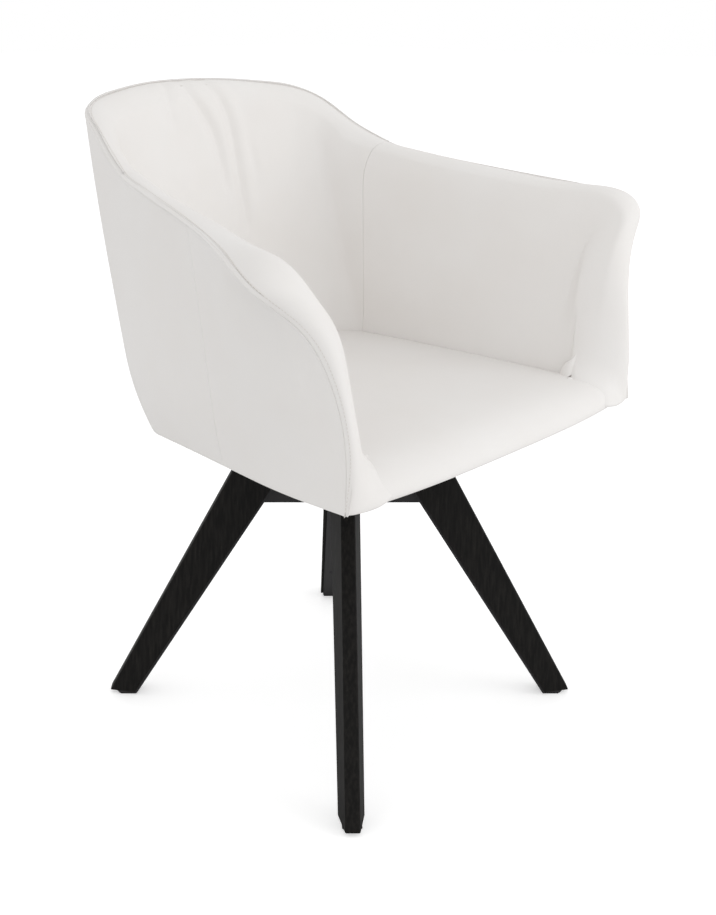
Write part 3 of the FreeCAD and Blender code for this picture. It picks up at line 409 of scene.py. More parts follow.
def grid_mesh(name, grid, look, behind):
    """Mesh over a grid of points in millimetres, with its faces turned away from a point behind it."""
    rows, columns = grid.shape[:2]
    index = np.arange(rows * columns).reshape(rows, columns)
    corners = [index[:-1, :-1], index[1:, :-1], index[1:, 1:], index[:-1, 1:]]
    faces = np.stack(corners, axis=-1).reshape(-1, 4)
    mesh = bpy.data.meshes.new(name)
    mesh.from_pydata((grid.reshape(-1, 3) * MM).tolist(), [], faces.tolist())
    side = np.cross(grid[1:, :-1] - grid[:-1, :-1], grid[:-1, 1:] - grid[:-1, :-1])
    if (side * (grid[:-1, :-1] - np.array(behind))).sum() < 0:
        mesh.flip_normals()
    work = bmesh.new()
    work.from_mesh(mesh)
    bmesh.ops.remove_doubles(work, verts=work.verts, dist=MERGE * MM)
    work.to_mesh(mesh)
    work.free()
    piece = placed(name, mesh)
    mesh.materials.append(look)
    mesh.polygons.foreach_set("use_smooth", [True] * len(mesh.polygons))
    return piece


def applied(piece):
    """Turns the piece's modifiers into plain mesh."""
    evaluated = piece.evaluated_get(bpy.context.evaluated_depsgraph_get())
    piece.data = bpy.data.meshes.new_from_object(evaluated)
    piece.data.name = piece.name
    piece.modifiers.clear()
    return piece


def thicken(piece, depth, levels=1):
    """Gives a skin its foam depth behind the surface and smooths it."""
    solid = piece.modifiers.new("Foam", "SOLIDIFY")
    solid.thickness = depth * MM
    solid.offset = -1
    solid.use_even_offset = False
    smooth = piece.modifiers.new("Soften", "SUBSURF")
    smooth.levels = smooth.render_levels = levels
    return applied(piece)


def fit(piece, nodes):
    """Puts a padded leather piece on the seat in place of its plain solids."""
    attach(piece, "seat")
    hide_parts(*nodes)
    print(piece.name, len(piece.data.polygons), "faces")


# %% [markdown]
# Every finish starts as a Principled shader. A fine pattern on the piece's own coordinates varies the
# colour a little and gives the bump that breaks up the highlights. Pattern scales are cells for each
# metre, so 620 is a pebble of 1.6 mm.

# %% Node helpers
def linear(code):
    """sRGB hex to linear colour."""
    parts = [int(code[i:i + 2], 16) / 255 for i in (1, 3, 5)]
    return tuple(p / 12.92 if p <= 0.04045 else ((p + 0.055) / 1.055) ** 2.4 for p in parts) + (1.0,)


def add(tree, kind, inputs=None, links=None, **settings):
    """One node with its settings, input values and incoming links."""
    node = tree.nodes.new(kind)
    for name, value in settings.items():
        setattr(node, name, value)
    for name, value in (inputs or {}).items():
        node.inputs[name].default_value = value
    for name, source in (links or {}).items():
        tree.links.new(source, node.inputs[name])
    return node


def new_look(name):
    look = bpy.data.materials.new(name)
    look.use_nodes = True
    look.node_tree.nodes.clear()
    return look, look.node_tree


def close_look(tree, shader):
    add(tree, "ShaderNodeOutputMaterial", links={"Surface": shader.outputs["BSDF"]})


print("off-white #EDEBE9 is", [round(c, 3) for c in linear("#EDEBE9")[:3]], "in linear light")

# %% [markdown]
# Leather here is a corrected-grain hide: smooth, semi-matt, with a very fine pebble that only shows where
# light grazes it. The colour is an off-white that drifts very slightly over a hand's width. The legs are
# oak with a black stain: dull, with open grain that runs with the leg.

# %% Leather and oak
def leather_look(name, base, fold):
    """Corrected-grain hide: an even off-white whose fine pebble only shows where light grazes it."""
    look, tree = new_look(name)
    place = add(tree, "ShaderNodeTexCoord").outputs["Object"]
    cloud = add(tree, "ShaderNodeTexNoise", {"Scale": 9.0, "Detail": 2.0, "Roughness": 0.5},
                {"Vector": place})
    ramp = add(tree, "ShaderNodeValToRGB", links={"Fac": cloud.outputs["Fac"]})
    dark, light = ramp.color_ramp.elements
    dark.position, light.position = 0.2, 0.8
    dark.color, light.color = linear(fold), linear(base)
    pebble = add(tree, "ShaderNodeTexVoronoi", {"Scale": 620.0}, {"Vector": place}, feature="SMOOTH_F1")
    crease = add(tree, "ShaderNodeTexNoise", {"Scale": 240.0, "Detail": 3.0}, {"Vector": place})
    fine = add(tree, "ShaderNodeBump", {"Strength": 0.10, "Distance": 0.0003},
               {"Height": pebble.outputs["Distance"]})
    coarse = add(tree, "ShaderNodeBump", {"Strength": 0.08, "Distance": 0.0004},
                 {"Height": crease.outputs["Fac"], "Normal": fine.outputs["Normal"]})
    shader = add(tree, "ShaderNodeBsdfPrincipled", {"Roughness": 0.5, "IOR": 1.45, "Specular IOR Level": 0.3},
                 {"Base Color": ramp.outputs["Color"], "Normal": coarse.outputs["Normal"]})
    close_look(tree, shader)
    return look


def oak_look():
    """Black-stained oak: open grain runs with the leg, and the stain lies thick in it."""
    look, tree = new_look("black_stained_oak")
    place = add(tree, "ShaderNodeTexCoord").outputs["Object"]
    stretch = add(tree, "ShaderNodeMapping", {"Scale": (260.0, 260.0, 18.0)}, {"Vector": place})
    grain = add(tree, "ShaderNodeTexNoise", {"Scale": 1.0, "Detail": 4.0, "Roughness": 0.6},
                {"Vector": stretch.outputs["Vector"]})
    ramp = add(tree, "ShaderNodeValToRGB", links={"Fac": grain.outputs["Fac"]})
    dark, light = ramp.color_ramp.elements
    dark.position, light.position = 0.4, 0.7
    dark.color, light.color = linear("#0B0A09"), linear("#1E1C1A")
    bump = add(tree, "ShaderNodeBump", {"Strength": 0.3, "Distance": 0.0004},
               {"Height": grain.outputs["Fac"]})
    shader = add(tree, "ShaderNodeBsdfPrincipled", {"Roughness": 0.6, "Specular IOR Level": 0.15},
                 {"Base Color": ramp.outputs["Color"], "Normal": bump.outputs["Normal"]})
    close_look(tree, shader)
    return look


leather = leather_look("corrected_grain_leather", "#EDEBE9", "#EAE7E4")
oak = oak_look()
print("made", leather.name, "and", oak.name)

# %% [markdown]
# The other parts are coated, moulded, pressed or ground. Their surfaces differ only in colour, gloss and
# how coarse the texture is, so one function makes them all. Each grain is drawn a little coarser than the
# real one, because at its real size it would not show.

# %% Other finishes
def plain_look(name, colour, metallic, roughness, grain_scale, grain_depth, specular=0.5):
    """Finish with a fine cast, coated or moulded surface."""
    look, tree = new_look(name)
    place = add(tree, "ShaderNodeTexCoord").outputs["Object"]
    grain = add(tree, "ShaderNodeTexNoise", {"Scale": grain_scale, "Detail": 3.0}, {"Vector": place})
    ramp = add(tree, "ShaderNodeValToRGB", links={"Fac": grain.outputs["Fac"]})
    base = linear(colour)
    dark, light = ramp.color_ramp.elements
    dark.color = tuple(c * 0.8 for c in base[:3]) + (1.0,)
    light.color = tuple(min(1, c * 1.15) for c in base[:3]) + (1.0,)
    bump = add(tree, "ShaderNodeBump", {"Strength": 0.2, "Distance": grain_depth},
               {"Height": grain.outputs["Fac"]})
    shader = add(tree, "ShaderNodeBsdfPrincipled",
                 {"Metallic": metallic, "Roughness": roughness, "Specular IOR Level": specular},
                 {"Base Color": ramp.outputs["Color"], "Normal": bump.outputs["Normal"]})
    close_look(tree, shader)
    return look


# Twisted and bonded: a shade darker than the leather, with a soft shine
thread = plain_look("bonded_polyester_thread", "#DDD8D2", 0.0, 0.6, 900.0, 0.0001)
LOOKS = {
    # Baked powder: nearly black, satin, with a fine orange peel
    "grey_steel": plain_look("powder_coated_steel", "#2E2D2E", 0.0, 0.5, 1400.0, 0.0002, 0.3),
    # Pressed fibres: black and quite dull
    "glide_felt": plain_look("pressed_felt_glide", "#111111", 0.0, 0.9, 900.0, 0.0003, 0.1),
    # Oxide-blackened metal: dark with a blurred glint
    "screw_steel": plain_look("blackened_screw_steel", "#3A3A3C", 1.0, 0.45, 900.0, 0.0001),
    # Moulded acetal: milky, smooth and a little waxy
    "bush_plastic": plain_look("natural_acetal", "#D8D4C8", 0.0, 0.4, 500.0, 0.0001),
    # Ground steel: bright with sharp highlights
    "race_steel": plain_look("ground_bearing_steel", "#B9BABD", 1.0, 0.25, 1500.0, 0.00005),
    # Pressed brass sheet: yellow with a soft reflection
    "cage_brass": plain_look("pressed_brass", "#B58E46", 1.0, 0.35, 900.0, 0.0001),
    # Uncoloured moulding: off-white and matt, so it doesn't show through a seam
    "shell_plastic": plain_look("natural_moulded_shell", "#D6D2CC", 0.0, 0.6, 400.0, 0.0003, 0.3),
    # Spunbond cloth: black, with no shine at all
    "dust_fabric": plain_look("spunbond_fabric", "#101010", 0.0, 0.95, 1200.0, 0.0003, 0.1),
    "black_oak": oak,
    "white_leather": leather,
}
slot_of = {row["node"]: row["material_slot"] for row in frame["record"]["subparts"]}
for name, node in frame["nodes"].items():
    node.data.materials.clear()
    node.data.materials.append(LOOKS[slot_of[name]])
print(len(LOOKS), "finishes on", len(frame["nodes"]), "nodes")

# %% [markdown]
# The leather lies on a moulded shell, and nowhere may the shell show through. Rays from outside find how
# far each point of a skin stands over it. Where that is too little the point is pushed out, and the push
# is spread to its neighbours, so it stays invisible.

# %% Clear of the shell
PROBE = 0.03             # metres outside the skin where a ray starts
WIDEN_STEPS, SPREAD_STEPS = 3, 16
shell = frame["nodes"]["tub_shell"]
shell_tree = BVHTree.FromPolygons([shell.matrix_world @ v.co for v in shell.data.vertices],
                                  [p.vertices[:] for p in shell.data.polygons])


def clear_of_shell(grid, outward, gap):
    """Moves points out until they stand a gap clear of the moulded shell, and evens the push out."""
    push = np.zeros(grid.shape[:2])
    for i, j in np.ndindex(*push.shape):
        point, way = Vector(grid[i, j] * MM), Vector(outward[i, j])
        spot, _, _, _ = shell_tree.ray_cast(point + way * PROBE, -way, PROBE + gap * MM)
        if spot is not None:
            push[i, j] = max(0.0, gap - (point - spot).dot(way) / MM)
    for step in range(SPREAD_STEPS):
        spread = np.pad(push, 1, mode="edge")
        beside = np.stack([spread[:-2, 1:-1], spread[2:, 1:-1], spread[1:-1, :-2], spread[1:-1, 2:], push])
        push = beside.max(0) if step < WIDEN_STEPS else beside.mean(0)
    return grid + outward * push[..., None]


def outward_normals(grid, behind):
    """Unit normals of a grid of points, turned away from a point behind it."""
    along_stations, along_rows = np.gradient(grid, axis=0), np.gradient(grid, axis=1)
    normal = np.cross(along_stations, along_rows)
    way = normal / (np.linalg.norm(normal, axis=-1, keepdims=True) + 1e-9)
    return way * np.sign((way * (grid - np.array(behind))).sum(-1).mean())


print("shell has", len(shell.data.polygons), "faces")

# %% [markdown]
# At the rim both skins turn in towards the foam. Each seam raises a small welt and leaves a fine groove
# beside it, which catches a thin shadow. The welt is a ridge added along the normals, and the groove comes
# from the folded border of each panel.

# %% Seam details
OUTER_SKIN = 2.2
INSIDE_TUB = (0.0, 0.0, 600.0)
SITTER = np.array((0.0, -50.0, 800.0))
WELT_HEIGHT, WELT_PLACE, WELT_WIDTH = 0.6, 1.5, 1.0
FOLD_WIDTH, FOLD_DEPTH = 1.3, 1.5
FOLD_SECTION = ((1.0, 0.02), (0.4, 0.12), (0.05, 0.4), (-0.05, 1.0))   # shares of width and depth
FOLD_FADE = 10           # a fold runs out over this length before the panel's corner
LINING_GAP, SPARE_GAP = 2.4, 0.3                                       # clearance over the shell
OUTER_BLEND, LINING_BLEND, GAP_BLEND = 20, 18, 2   # lengths over which a skin follows the moved seam


def rim_welt(grid, outward, first):
    """Raises the welt on the rows beside the rim seam."""
    distance = np.linalg.norm(grid - grid[:, first:first + 1], axis=-1)
    height = WELT_HEIGHT * np.exp(-((distance - WELT_PLACE) / WELT_WIDTH) ** 2)
    return grid + outward * height[..., None]


def folded(grid, outward, line):
    """Rounds a border line of a skin and folds it in, so that two panels meet in a fine groove."""
    inside = 1 if line == 0 else -2
    toward = grid[inside] - grid[line]
    toward /= np.linalg.norm(toward, axis=-1, keepdims=True) + 1e-9
    from_ends = np.linalg.norm(grid[line][:, None] - grid[line][[2, -3]], axis=-1).min(-1)
    way = outward[line] * np.clip(from_ends / FOLD_FADE, 0, 1)[:, None]
    rows = [grid[line] + toward * (FOLD_WIDTH * s) - way * (FOLD_DEPTH * d) for s, d in FOLD_SECTION]
    if line == 0:
        return np.concatenate([np.array(rows[::-1]), grid[1:]])
    return np.concatenate([grid[:-1], np.array(rows)])


outer_way = outward_normals(outer_wall, (0, 20.0, 600.0))
inner_way = -outward_normals(lining, SITTER)
fold_way = relax(-outer_way[:, -4] - inner_way[:, 4], 6)
fold_way /= np.linalg.norm(fold_way, axis=1)[:, None]
outer_wall = clear_of_shell(outer_wall, outer_way, OUTER_SKIN + SPARE_GAP)
moved_seam = seam[:, None] + relax(outer_wall[:, -1:] - seam[:, None], 6)
seam_shift = np.linalg.norm(moved_seam[:, 0] - seam, axis=1).max()
under_seam = np.linalg.norm(outer_wall - outer_wall[:, -1:], axis=-1, keepdims=True)
outer_wall = outer_wall + (moved_seam - outer_wall[:, -1:]) * np.exp(-under_seam / OUTER_BLEND)
cleared = clear_of_shell(outer_wall, outer_way, OUTER_SKIN)
outer_wall = lerp(outer_wall, cleared, 1 - np.exp(-under_seam / GAP_BLEND))
outer_wall = rim_welt(outer_wall, outer_way, outer_wall.shape[1] - 1)
print("seam moved by up to", round(float(seam_shift), 1), "mm to clear the shell")

# %% [markdown]
# The outer leather is cut in three: one panel round the back and one on each arm, joined by a flat seam
# that leans forward as it rises. At the hem it turns under the shell, where it would be stapled.

# %% Outer leather
HEM_TURN = 12.0          # leather turned under the shell
HEM_SECTION = ((1.0, 1.0), (0.5, 0.5), (0.15, 0.1))   # share of the turn, rise in millimetres
SIDE_SEAM_Y, ARM_HEIGHT, MARK_ROW = -20, 690, 10      # where the upright side seam crosses that row,
SEAM_FORWARD = 3                                      # and the stations it stands in front of that
EDGE_TURNS = (0.5, 2.0)  # depths of the two rows that fold in at the rim


def outer_skin():
    """Outer wall with its hem turned under and its upper edge folded in."""
    level = np.concatenate([-outer_way[:, :1, :2], np.zeros((len(seam), 1, 1))], axis=-1)
    under = [outer_wall[:, :1] + level * HEM_TURN * s + np.array([0, 0, d]) for s, d in HEM_SECTION]
    top = [outer_wall[:, -1:] + fold_way[:, None] * d for d in EDGE_TURNS]
    return np.concatenate(under + [outer_wall] + top, axis=1)


skin = outer_skin()
side_seam = nearest_station(outer_wall[:, MARK_ROW, 1] - SIDE_SEAM_Y, seam[:, 2] < ARM_HEIGHT) + SEAM_FORWARD
back_skin = both_halves(skin[:side_seam + 1])
way = outward_normals(back_skin, INSIDE_TUB)
back_skin = folded(folded(back_skin, way, -1), way, 0)
back_cover = grid_mesh("outer_back_leather", back_skin, leather, INSIDE_TUB)
fit(thicken(back_cover, OUTER_SKIN), ["outer_back_cover"])
for side, sign in (("left", 1), ("right", -1)):
    arm_skin = skin[side_seam:] * np.array([sign, 1.0, 1.0])
    arm_skin = folded(arm_skin, outward_normals(arm_skin, INSIDE_TUB), 0)
    cover = grid_mesh(f"outer_arm_leather_{side}", arm_skin, leather, INSIDE_TUB)
    fit(thicken(cover, OUTER_SKIN), [f"outer_arm_cover_{side}"])

# %% [markdown]
# The lining is the leather on the sitter's side. It starts at the rim seam, rolls over the foam and runs
# down to the seat, so roll and inner wall are one piece of hide on each arm and one round the back. The
# backrest curves two ways, so its leather is gathered into shallow pleats that sweep down from the rim.

# %% Pleats in the backrest
# Each pleat: points x, z on the backrest, depth, half width
PLEATS = [
    ([(-14, 832), (-6, 807), (18, 764), (28, 712), (32, 668)], 3.8, 8.0),
    ([(30, 832), (52, 778), (55, 711), (56, 652), (54, 612)], 3.6, 7.5),
    ([(-44, 832), (-54, 798), (-47, 762)], 1.8, 7.0),
    ([(82, 742), (85, 712), (87, 685)], 1.0, 6.0),
]
# Rolls beside a groove: height, place and width as shares of the groove's
PLEAT_ROLLS = ((0.55, 2.1, 1.3), (0.3, -2.4, 1.6))
PLEAT_POINTS = 60
PLEAT_START, PLEAT_FADE = 0.12, 0.6                  # a pleat starts part-way into its depth and runs out
BACKREST_Y = 100                                     # pleats only mark what lies behind this


def pleated(grid, outward):
    """Presses the pleats into the back lining. Each is a groove with a soft roll of leather beside it."""
    depth = np.zeros(grid.shape[:2])
    for points, groove, width in PLEATS:
        table = np.array(points, float)
        table = natural_spline(np.arange(len(table)), table, np.linspace(0, len(table) - 1, PLEAT_POINTS))
        gap = grid[:, :, None, [0, 2]] - table[None, None]
        far = np.linalg.norm(gap, axis=-1)
        nearest = far.argmin(-1)
        distance = np.take_along_axis(far, nearest[..., None], -1)[..., 0]
        offset = distance * np.sign(np.take_along_axis(gap[..., 0], nearest[..., None], -1)[..., 0])
        run = np.clip(PLEAT_START + (1 - PLEAT_START) * nearest / (PLEAT_POINTS - 1), 0, 1)
        shape = -np.exp(-(offset / width) ** 2)
        for height, place, wide in PLEAT_ROLLS:
            shape = shape + height * np.exp(-((offset - place * width) / (wide * width)) ** 2)
        depth += shape * groove * np.sin(np.pi * run) ** PLEAT_FADE * (grid[..., 1] > BACKREST_Y)
    depth *= np.clip((np.linalg.norm(grid - grid[:, 2:3], axis=-1) - 4) / 14, 0, 1)
    return grid + outward * depth[..., None]


def finer(grid, factor):
    """Adds lines between the stations."""
    count = len(grid)
    wanted = np.linspace(0, count - 1, (count - 1) * factor + 1)
    smooth = natural_spline(np.arange(count), grid.reshape(count, -1), wanted)
    return smooth.reshape(len(wanted), *grid.shape[1:])


print(len(PLEATS), "pleats, the deepest", max(pleat[1] for pleat in PLEATS), "mm")

# %% [markdown]
# The back panel gets three times as many lines as the arms, because the pleats are narrow.

# %% Lining
INNER_FOAM = 6.0
EDGE_GAP = 0.15          # keeps the two folded edges apart
beside_seam = np.linalg.norm(lining - lining[:, :1], axis=-1, keepdims=True)
lining = lining + (moved_seam - lining[:, :1]) * np.exp(-beside_seam / LINING_BLEND)
cleared = clear_of_shell(lining, inner_way, LINING_GAP)
lining = rim_welt(lerp(lining, cleared, 1 - np.exp(-beside_seam / GAP_BLEND)), inner_way, 0)
inward = across / np.linalg.norm(across, axis=1)[:, None]
edge = [moved_seam + inward[:, None] * EDGE_GAP + fold_way[:, None] * d for d in EDGE_TURNS[::-1]]
lining_skin = np.concatenate(edge + [lining], axis=1)


def lining_piece(name, grid, nodes, levels=1):
    """One panel of lining with its foam."""
    piece = grid_mesh(name, grid, leather, INSIDE_TUB)
    seen = sum((Vector(SITTER * MM) - p.center).dot(p.normal) * p.area for p in piece.data.polygons)
    if seen < 0:
        piece.data.flip_normals()
    fit(thicken(piece, INNER_FOAM, levels), nodes)


back_lining = finer(both_halves(lining_skin[:lining_split + 1]), 3)
way = -outward_normals(back_lining, SITTER)
back_lining = folded(folded(pleated(back_lining, way), way, -1), way, 0)
lining_piece("back_lining", back_lining, ["inner_back_pad", "rim_roll_back"], levels=0)
for side, sign in (("left", 1), ("right", -1)):
    arm_skin = lining_skin[lining_split:] * np.array([sign, 1.0, 1.0])
    arm_skin = folded(arm_skin, -outward_normals(arm_skin, SITTER), 0)
    lining_piece(f"arm_lining_{side}", arm_skin, [f"inner_arm_pad_{side}", f"rim_roll_{side}"])

# %% [markdown]
# A lockstitch runs along the roll beside the rim seam. One stitch is modelled and repeated along the line
# by a node group, so its pitch and size can be changed in one place.

# %% Stitches
STITCH_ROW = 7           # row of the lining that the stitches follow
STITCH_PROUD = 0.15


def stitch_rows():
    """Node group: a row of stitches along the edges it is given."""
    group = bpy.data.node_groups.new("stitch_row", "GeometryNodeTree")
    for name, kind, value in (("Geometry", "NodeSocketGeometry", None), ("Pitch", "NodeSocketFloat", 0.0042),
                              ("Stitch Length", "NodeSocketFloat", 0.003),
                              ("Thread", "NodeSocketFloat", 0.0006),
                              ("Seed", "NodeSocketInt", 3), ("Material", "NodeSocketMaterial", None)):
        socket = group.interface.new_socket(name=name, in_out="INPUT", socket_type=kind)
        if value is not None:
            socket.default_value = value
    group.interface.new_socket(name="Geometry", in_out="OUTPUT", socket_type="NodeSocketGeometry")
    given = add(group, "NodeGroupInput").outputs
    curve = add(group, "GeometryNodeMeshToCurve", links={"Mesh": given["Geometry"]})
    points = add(group, "GeometryNodeResampleCurve",
                 links={"Curve": curve.outputs["Curve"], "Length": given["Pitch"]}, mode="LENGTH")
    tangent = add(group, "GeometryNodeInputTangent")
    turn = add(group, "FunctionNodeAlignRotationToVector", links={"Vector": tangent.outputs["Tangent"]},
               axis="X")
    ball = add(group, "GeometryNodeMeshUVSphere", {"Segments": 8, "Rings": 6, "Radius": 0.5})
    size = add(group, "ShaderNodeCombineXYZ",
               links={"X": given["Stitch Length"], "Y": given["Thread"], "Z": given["Thread"]})
    stitch = add(group, "GeometryNodeTransform",
                 links={"Geometry": ball.outputs["Mesh"], "Scale": size.outputs["Vector"]})
    vary = add(group, "FunctionNodeRandomValue", {2: 0.9, 3: 1.1}, {"Seed": given["Seed"]},
               data_type="FLOAT")
    row = add(group, "GeometryNodeInstanceOnPoints",
              links={"Points": points.outputs["Curve"], "Instance": stitch.outputs["Geometry"],
                     "Rotation": turn.outputs["Rotation"], "Scale": vary.outputs[1]})
    real = add(group, "GeometryNodeRealizeInstances", links={"Geometry": row.outputs["Instances"]})
    smooth = add(group, "GeometryNodeSetShadeSmooth", links={"Geometry": real.outputs["Geometry"]})
    painted = add(group, "GeometryNodeSetMaterial",
                  links={"Geometry": smooth.outputs["Geometry"], "Material": given["Material"]})
    add(group, "NodeGroupOutput", links={"Geometry": painted.outputs["Geometry"]})
    return group


def sewn_line(name, line, stitching):
    """Stitches along a line of points given in millimetres."""
    mesh = bpy.data.meshes.new(name)
    mesh.from_pydata((line * MM).tolist(), [(i, i + 1) for i in range(len(line) - 1)], [])
    piece = placed(name, mesh)
    nodes = piece.modifiers.new("Stitches", "NODES")
    nodes.node_group = stitching
    for item in stitching.interface.items_tree:
        if item.in_out == "INPUT" and item.name == "Material":
            nodes[item.identifier] = thread
    return applied(piece)


stitch_line = lining[:, STITCH_ROW] + inner_way[:, STITCH_ROW] * STITCH_PROUD
rim_stitches = sewn_line("rim_stitches", both_halves(stitch_line), stitch_rows())
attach(rim_stitches, "seat")
print("rim_stitches", len(rim_stitches.data.polygons), "faces")

# %% [markdown]
# The seat is a thin foam pad, crowned in the middle, pulled down where it meets the arms and the back,
# and rolled over the front edge of the shell. Its sides press lightly into the lining.

# %% Seat
SEAT_TOP = 466.0
SEAT_FOAM = 8.0
SEAT_COLUMNS, SEAT_ROWS = 61, 45
PRESS = 2.5                              # how far the sides press into the lining
SEAT_REAR, SEAT_FRONT = 152.0, -150.0    # the flat of the seat lies between these
REAR_BULGE, BULGE_POWER = 45, 2.2        # the rear edge follows the curved back
SIDE_FALL, EDGE_FALL = 8, 7              # crown across the seat, then the drop at its edge
REAR_FALL = 8
SIDE_EDGE, REAR_EDGE = 16.0, 14.0        # widths of the rounded edges
FRONT_DROP, CORNER_BACK = 45, 11
SIDE_LEVEL, LAST_WALL = 458.0, -250.0    # height of the seat's sides, and y of the last lining beside them
BAND_Y, BAND_LENGTH, BAND_OUT = -208, 52, 20     # the seat widens where the arm's front band begins
FOOT_DROP, FOOT_LENGTH, FOOT_IN = 15, 32, 0.85   # and draws in again towards the band's foot
# Front line over the seat: y, drop below the crown
FRONT_LINE = np.array([
    (-150, 0.0), (-200, 1.0), (-225, 3.0), (-243, 8.0), (-256, 15), (-266, 25), (-272, 36), (-274.5, 44.5),
    (-272, 47.5), (-258, 48.5),
])


def seat_half(y, drop=0.0):
    """Half width of the seat: up to the lining, out round the arm's front band, in again at its foot."""
    out = BAND_OUT * np.clip((BAND_Y - y) / BAND_LENGTH, 0, 1) ** 1.5
    out = out * (1 - FOOT_IN * np.clip((drop - FOOT_DROP) / FOOT_LENGTH, 0, 1))
    return abs(wall_points(max(y, LAST_WALL), 90.0, SIDE_LEVEL, True)[0]) + PRESS + out


def rounded(share):
    """Drop of a quarter-round edge, from 1 at the border to 0 where the flat begins."""
    return 1 - np.sqrt(1 - (1 - share) ** 2)


def seat_skin():
    across_seat = np.linspace(-1, 1, SEAT_COLUMNS)
    rows = []
    for share in np.linspace(0, 1, SEAT_ROWS)[:-1]:
        edge_y = lerp(SEAT_REAR, SEAT_FRONT, share)
        half = seat_half(edge_y)
        bulge = REAR_BULGE * (1 - share) ** 2 * (1 - np.abs(across_seat) ** BULGE_POWER)
        side = np.clip((1 - np.abs(across_seat)) * half / SIDE_EDGE, 0, 1)
        rear = np.clip(share * 300 / REAR_EDGE, 0, 1)
        z = SEAT_TOP - SIDE_FALL * across_seat ** 2 - EDGE_FALL * rounded(side) - REAR_FALL * rounded(rear)
        rows.append(np.stack([across_seat * half, edge_y + bulge, z], -1))
    for y, drop in FRONT_LINE:
        half = seat_half(y, drop)
        over = np.clip(drop / FRONT_DROP, 0, 1)
        side = np.clip((1 - np.abs(across_seat)) * half / SIDE_EDGE, 0, 1)
        z = SEAT_TOP - SIDE_FALL * across_seat ** 2 * (1 - over) - drop
        z = z - EDGE_FALL * rounded(side) * np.clip(1 - drop / 20, 0, 1)
        edge_y = y + CORNER_BACK * np.abs(across_seat) ** 3 * over
        rows.append(np.stack([across_seat * half, edge_y, z], -1))
    return np.array(rows)


seat_pad = grid_mesh("seat_cushion_leather", relax(seat_skin(), 1), leather, (0.0, 0.0, 100.0))
fit(thicken(seat_pad, SEAT_FOAM), ["seat_cushion"])

# %% [markdown]
# Under the shell a black cloth keeps dust out. It is stapled along its edge and cut open round the seat
# plate, and it sags a little between the staples.

# %% Dust cover
SHEET_ROWS, SHEET_POINTS = 10, 120
SHEET_INSET = 17.0                   # the cloth's edge lies this far inside the outer leather
SHEET_RISE, CLOTH = 1.9, 0.8
OPENING, OPENING_CORNER = 93.0, 1.34  # half the opening's side, and the share that cuts its corners off
SAG, WAVE, WAVES = 0.5, 0.35, 14
OUTLINE_CENTRE_Y, FLANK = 60.0, (50, -236)


def even_loop(points, count):
    """The same closed line with its points evenly spaced."""
    closed = np.concatenate([points, points[:1]])
    marks = np.concatenate([[0], np.cumsum(np.linalg.norm(np.diff(closed, axis=0), axis=1))])
    wanted = np.linspace(0, marks[-1], count + 1)[:-1]
    return np.stack([np.interp(wanted, marks, closed[:, k]) for k in (0, 1)], -1)


def hem_point(origin_y, bearing):
    """Point of the cloth's edge, in plan."""
    return wall_points(origin_y, bearing, hem_height(origin_y), False, SHEET_INSET)[:2]


def dust_sheet():
    """The cloth as a grid from its edge to the opening, and its outline in plan."""
    rear = np.array([hem_point(OUTLINE_CENTRE_Y, turned) for turned in np.linspace(0, 90, 40)])
    flank = np.array([hem_point(y, 90.0) for y in np.linspace(*FLANK, 24)])
    half = np.concatenate([rear, flank])
    outline = np.concatenate([half, half[:0:-1] * np.array([-1.0, 1.0])])
    outline = even_loop(outline, SHEET_POINTS)
    angle = np.arctan2(outline[:, 0], outline[:, 1])
    reach = OPENING / np.maximum(np.abs(np.sin(angle)), np.abs(np.cos(angle)))
    reach = np.minimum(reach, OPENING * OPENING_CORNER)
    hole = np.stack([np.sin(angle), np.cos(angle)], -1) * reach[:, None]
    share = np.linspace(0, 1, SHEET_ROWS)[:, None, None]
    flat = lerp(outline[None], hole[None], share)
    sag = SAG * np.sin(np.pi * share[..., 0])
    sag = sag + WAVE * np.sin(WAVES * angle)[None] * np.exp(-share[..., 0] * 6)
    z = hem_height(flat[..., 1]) + SHEET_RISE - sag
    grid = np.concatenate([flat, z[..., None]], -1)
    return np.concatenate([grid, grid[:, :1]], axis=1), outline


sheet_grid, sheet_outline = dust_sheet()
dust_cover = grid_mesh("dust_cover_cloth", sheet_grid, LOOKS["dust_fabric"], (0.0, 0.0, 900.0))
weave = dust_cover.modifiers.new("Cloth", "SOLIDIFY")
weave.thickness, weave.offset = CLOTH * MM, 0.0
applied(dust_cover)
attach(dust_cover, "seat")
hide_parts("dust_cover")

# %% [markdown]
# The picture is a crop of a wider view, so the lens is shifted. Its distances in pixels were solved from
# the four equal legs.

# %% Camera
FRAME_WIDTH, FRAME_HEIGHT = 716, 915     # pixels
FOCAL = 1252.63                          # focal length in pixels
AXIS_X, AXIS_Y = 275.81, 275.20          # pixel that the lens points at
SENSOR = 36                              # mm over the frame's longer side
LOOKING_DOWN, TURNED = 12.23, -45.0      # degrees
camera_data = bpy.data.cameras.new("camera")
camera = placed("camera", camera_data)
camera.location = (-1.1893, -1.0637, 0.9393)
camera.rotation_euler = (math.radians(90 - LOOKING_DOWN), 0, math.radians(TURNED))
camera_data.sensor_width = SENSOR
camera_data.lens = FOCAL / FRAME_HEIGHT * SENSOR
camera_data.shift_x = (FRAME_WIDTH / 2 - AXIS_X) / FRAME_HEIGHT
camera_data.shift_y = -(FRAME_HEIGHT / 2 - AXIS_Y) / FRAME_HEIGHT
bpy.context.scene.camera = camera
print("lens", round(camera_data.lens, 1), "mm, shift", round(camera_data.shift_x, 3),
      round(camera_data.shift_y, 3))

# %% [markdown]
# White leather on a white ground needs soft light: one big round lamp and a pale sky that is a little
# brighter near the horizon. The camera sees sky and floor as white, and the floor keeps the shadow.

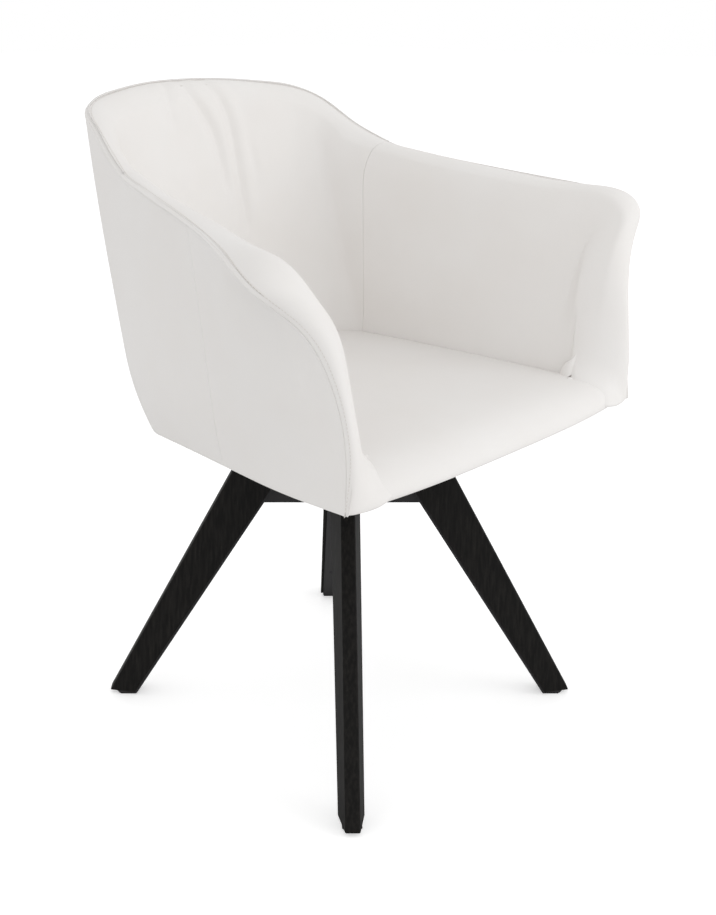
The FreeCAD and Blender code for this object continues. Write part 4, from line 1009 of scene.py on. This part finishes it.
# %% Lamp and sky
KEY_PLACE, KEY_TARGET, KEY_SIZE, KEY_POWER = (1.8, -2.8, 1.5), (0, 0, 0.6), 2.4, 22
WHITE = (1, 1, 1, 1)
lamp_data = bpy.data.lights.new("key", "AREA")
lamp_data.shape = "DISK"
lamp_data.size = KEY_SIZE
lamp_data.energy = KEY_POWER
lamp = placed("key", lamp_data)
lamp.location = KEY_PLACE
lamp.rotation_euler = (Vector(KEY_TARGET) - Vector(KEY_PLACE)).to_track_quat("-Z", "Y").to_euler()

world = bpy.data.worlds.new("studio")
bpy.context.scene.world = world
world.use_nodes = True
sky = world.node_tree
sky.nodes.clear()
sky_ray = add(sky, "ShaderNodeLightPath")
sky_place = add(sky, "ShaderNodeTexCoord").outputs["Generated"]
height = add(sky, "ShaderNodeSeparateXYZ", links={"Vector": sky_place})
dome = add(sky, "ShaderNodeMapRange", {"From Min": 0.0, "From Max": 1.0, "To Min": 1.02, "To Max": 0.80},
           {"Value": height.outputs["Z"]})
plain = add(sky, "ShaderNodeBackground", {"Color": WHITE}, {"Strength": dome.outputs["Result"]})
bright = add(sky, "ShaderNodeBackground", {"Color": WHITE, "Strength": 1.0})
blend = add(sky, "ShaderNodeMixShader",
            links={0: sky_ray.outputs["Is Camera Ray"], 1: plain.outputs[0], 2: bright.outputs[0]})
add(sky, "ShaderNodeOutputWorld", links={"Surface": blend.outputs[0]})
print("one lamp of", KEY_POWER, "W and a sky")

# %% Floor
FLOOR_HALF = 20
floor_mesh = bpy.data.meshes.new("floor")
floor_mesh.from_pydata([(-FLOOR_HALF, -FLOOR_HALF, 0), (FLOOR_HALF, -FLOOR_HALF, 0),
                        (FLOOR_HALF, FLOOR_HALF, 0), (-FLOOR_HALF, FLOOR_HALF, 0)], [], [(0, 1, 2, 3)])
floor = placed("floor", floor_mesh)
# White paper: matt, and lifted for the camera alone until it meets the sky without an edge
paper, tree = new_look("white_paper")
floor_ray = add(tree, "ShaderNodeLightPath")
matt = add(tree, "ShaderNodeBsdfDiffuse", {"Color": (0.85, 0.85, 0.85, 1)})
glow = add(tree, "ShaderNodeEmission", {"Color": WHITE, "Strength": 0.45})
clear = add(tree, "ShaderNodeEmission", {"Color": (0, 0, 0, 1), "Strength": 0.0})
lift = add(tree, "ShaderNodeMixShader",
           links={0: floor_ray.outputs["Is Camera Ray"], 1: clear.outputs[0], 2: glow.outputs[0]})
both = add(tree, "ShaderNodeAddShader", links={0: matt.outputs[0], 1: lift.outputs[0]})
add(tree, "ShaderNodeOutputMaterial", links={"Surface": both.outputs[0]})
floor_mesh.materials.append(paper)
bpy.context.scene.view_settings.view_transform = "Standard"
print("floor", 2 * FLOOR_HALF, "m wide")
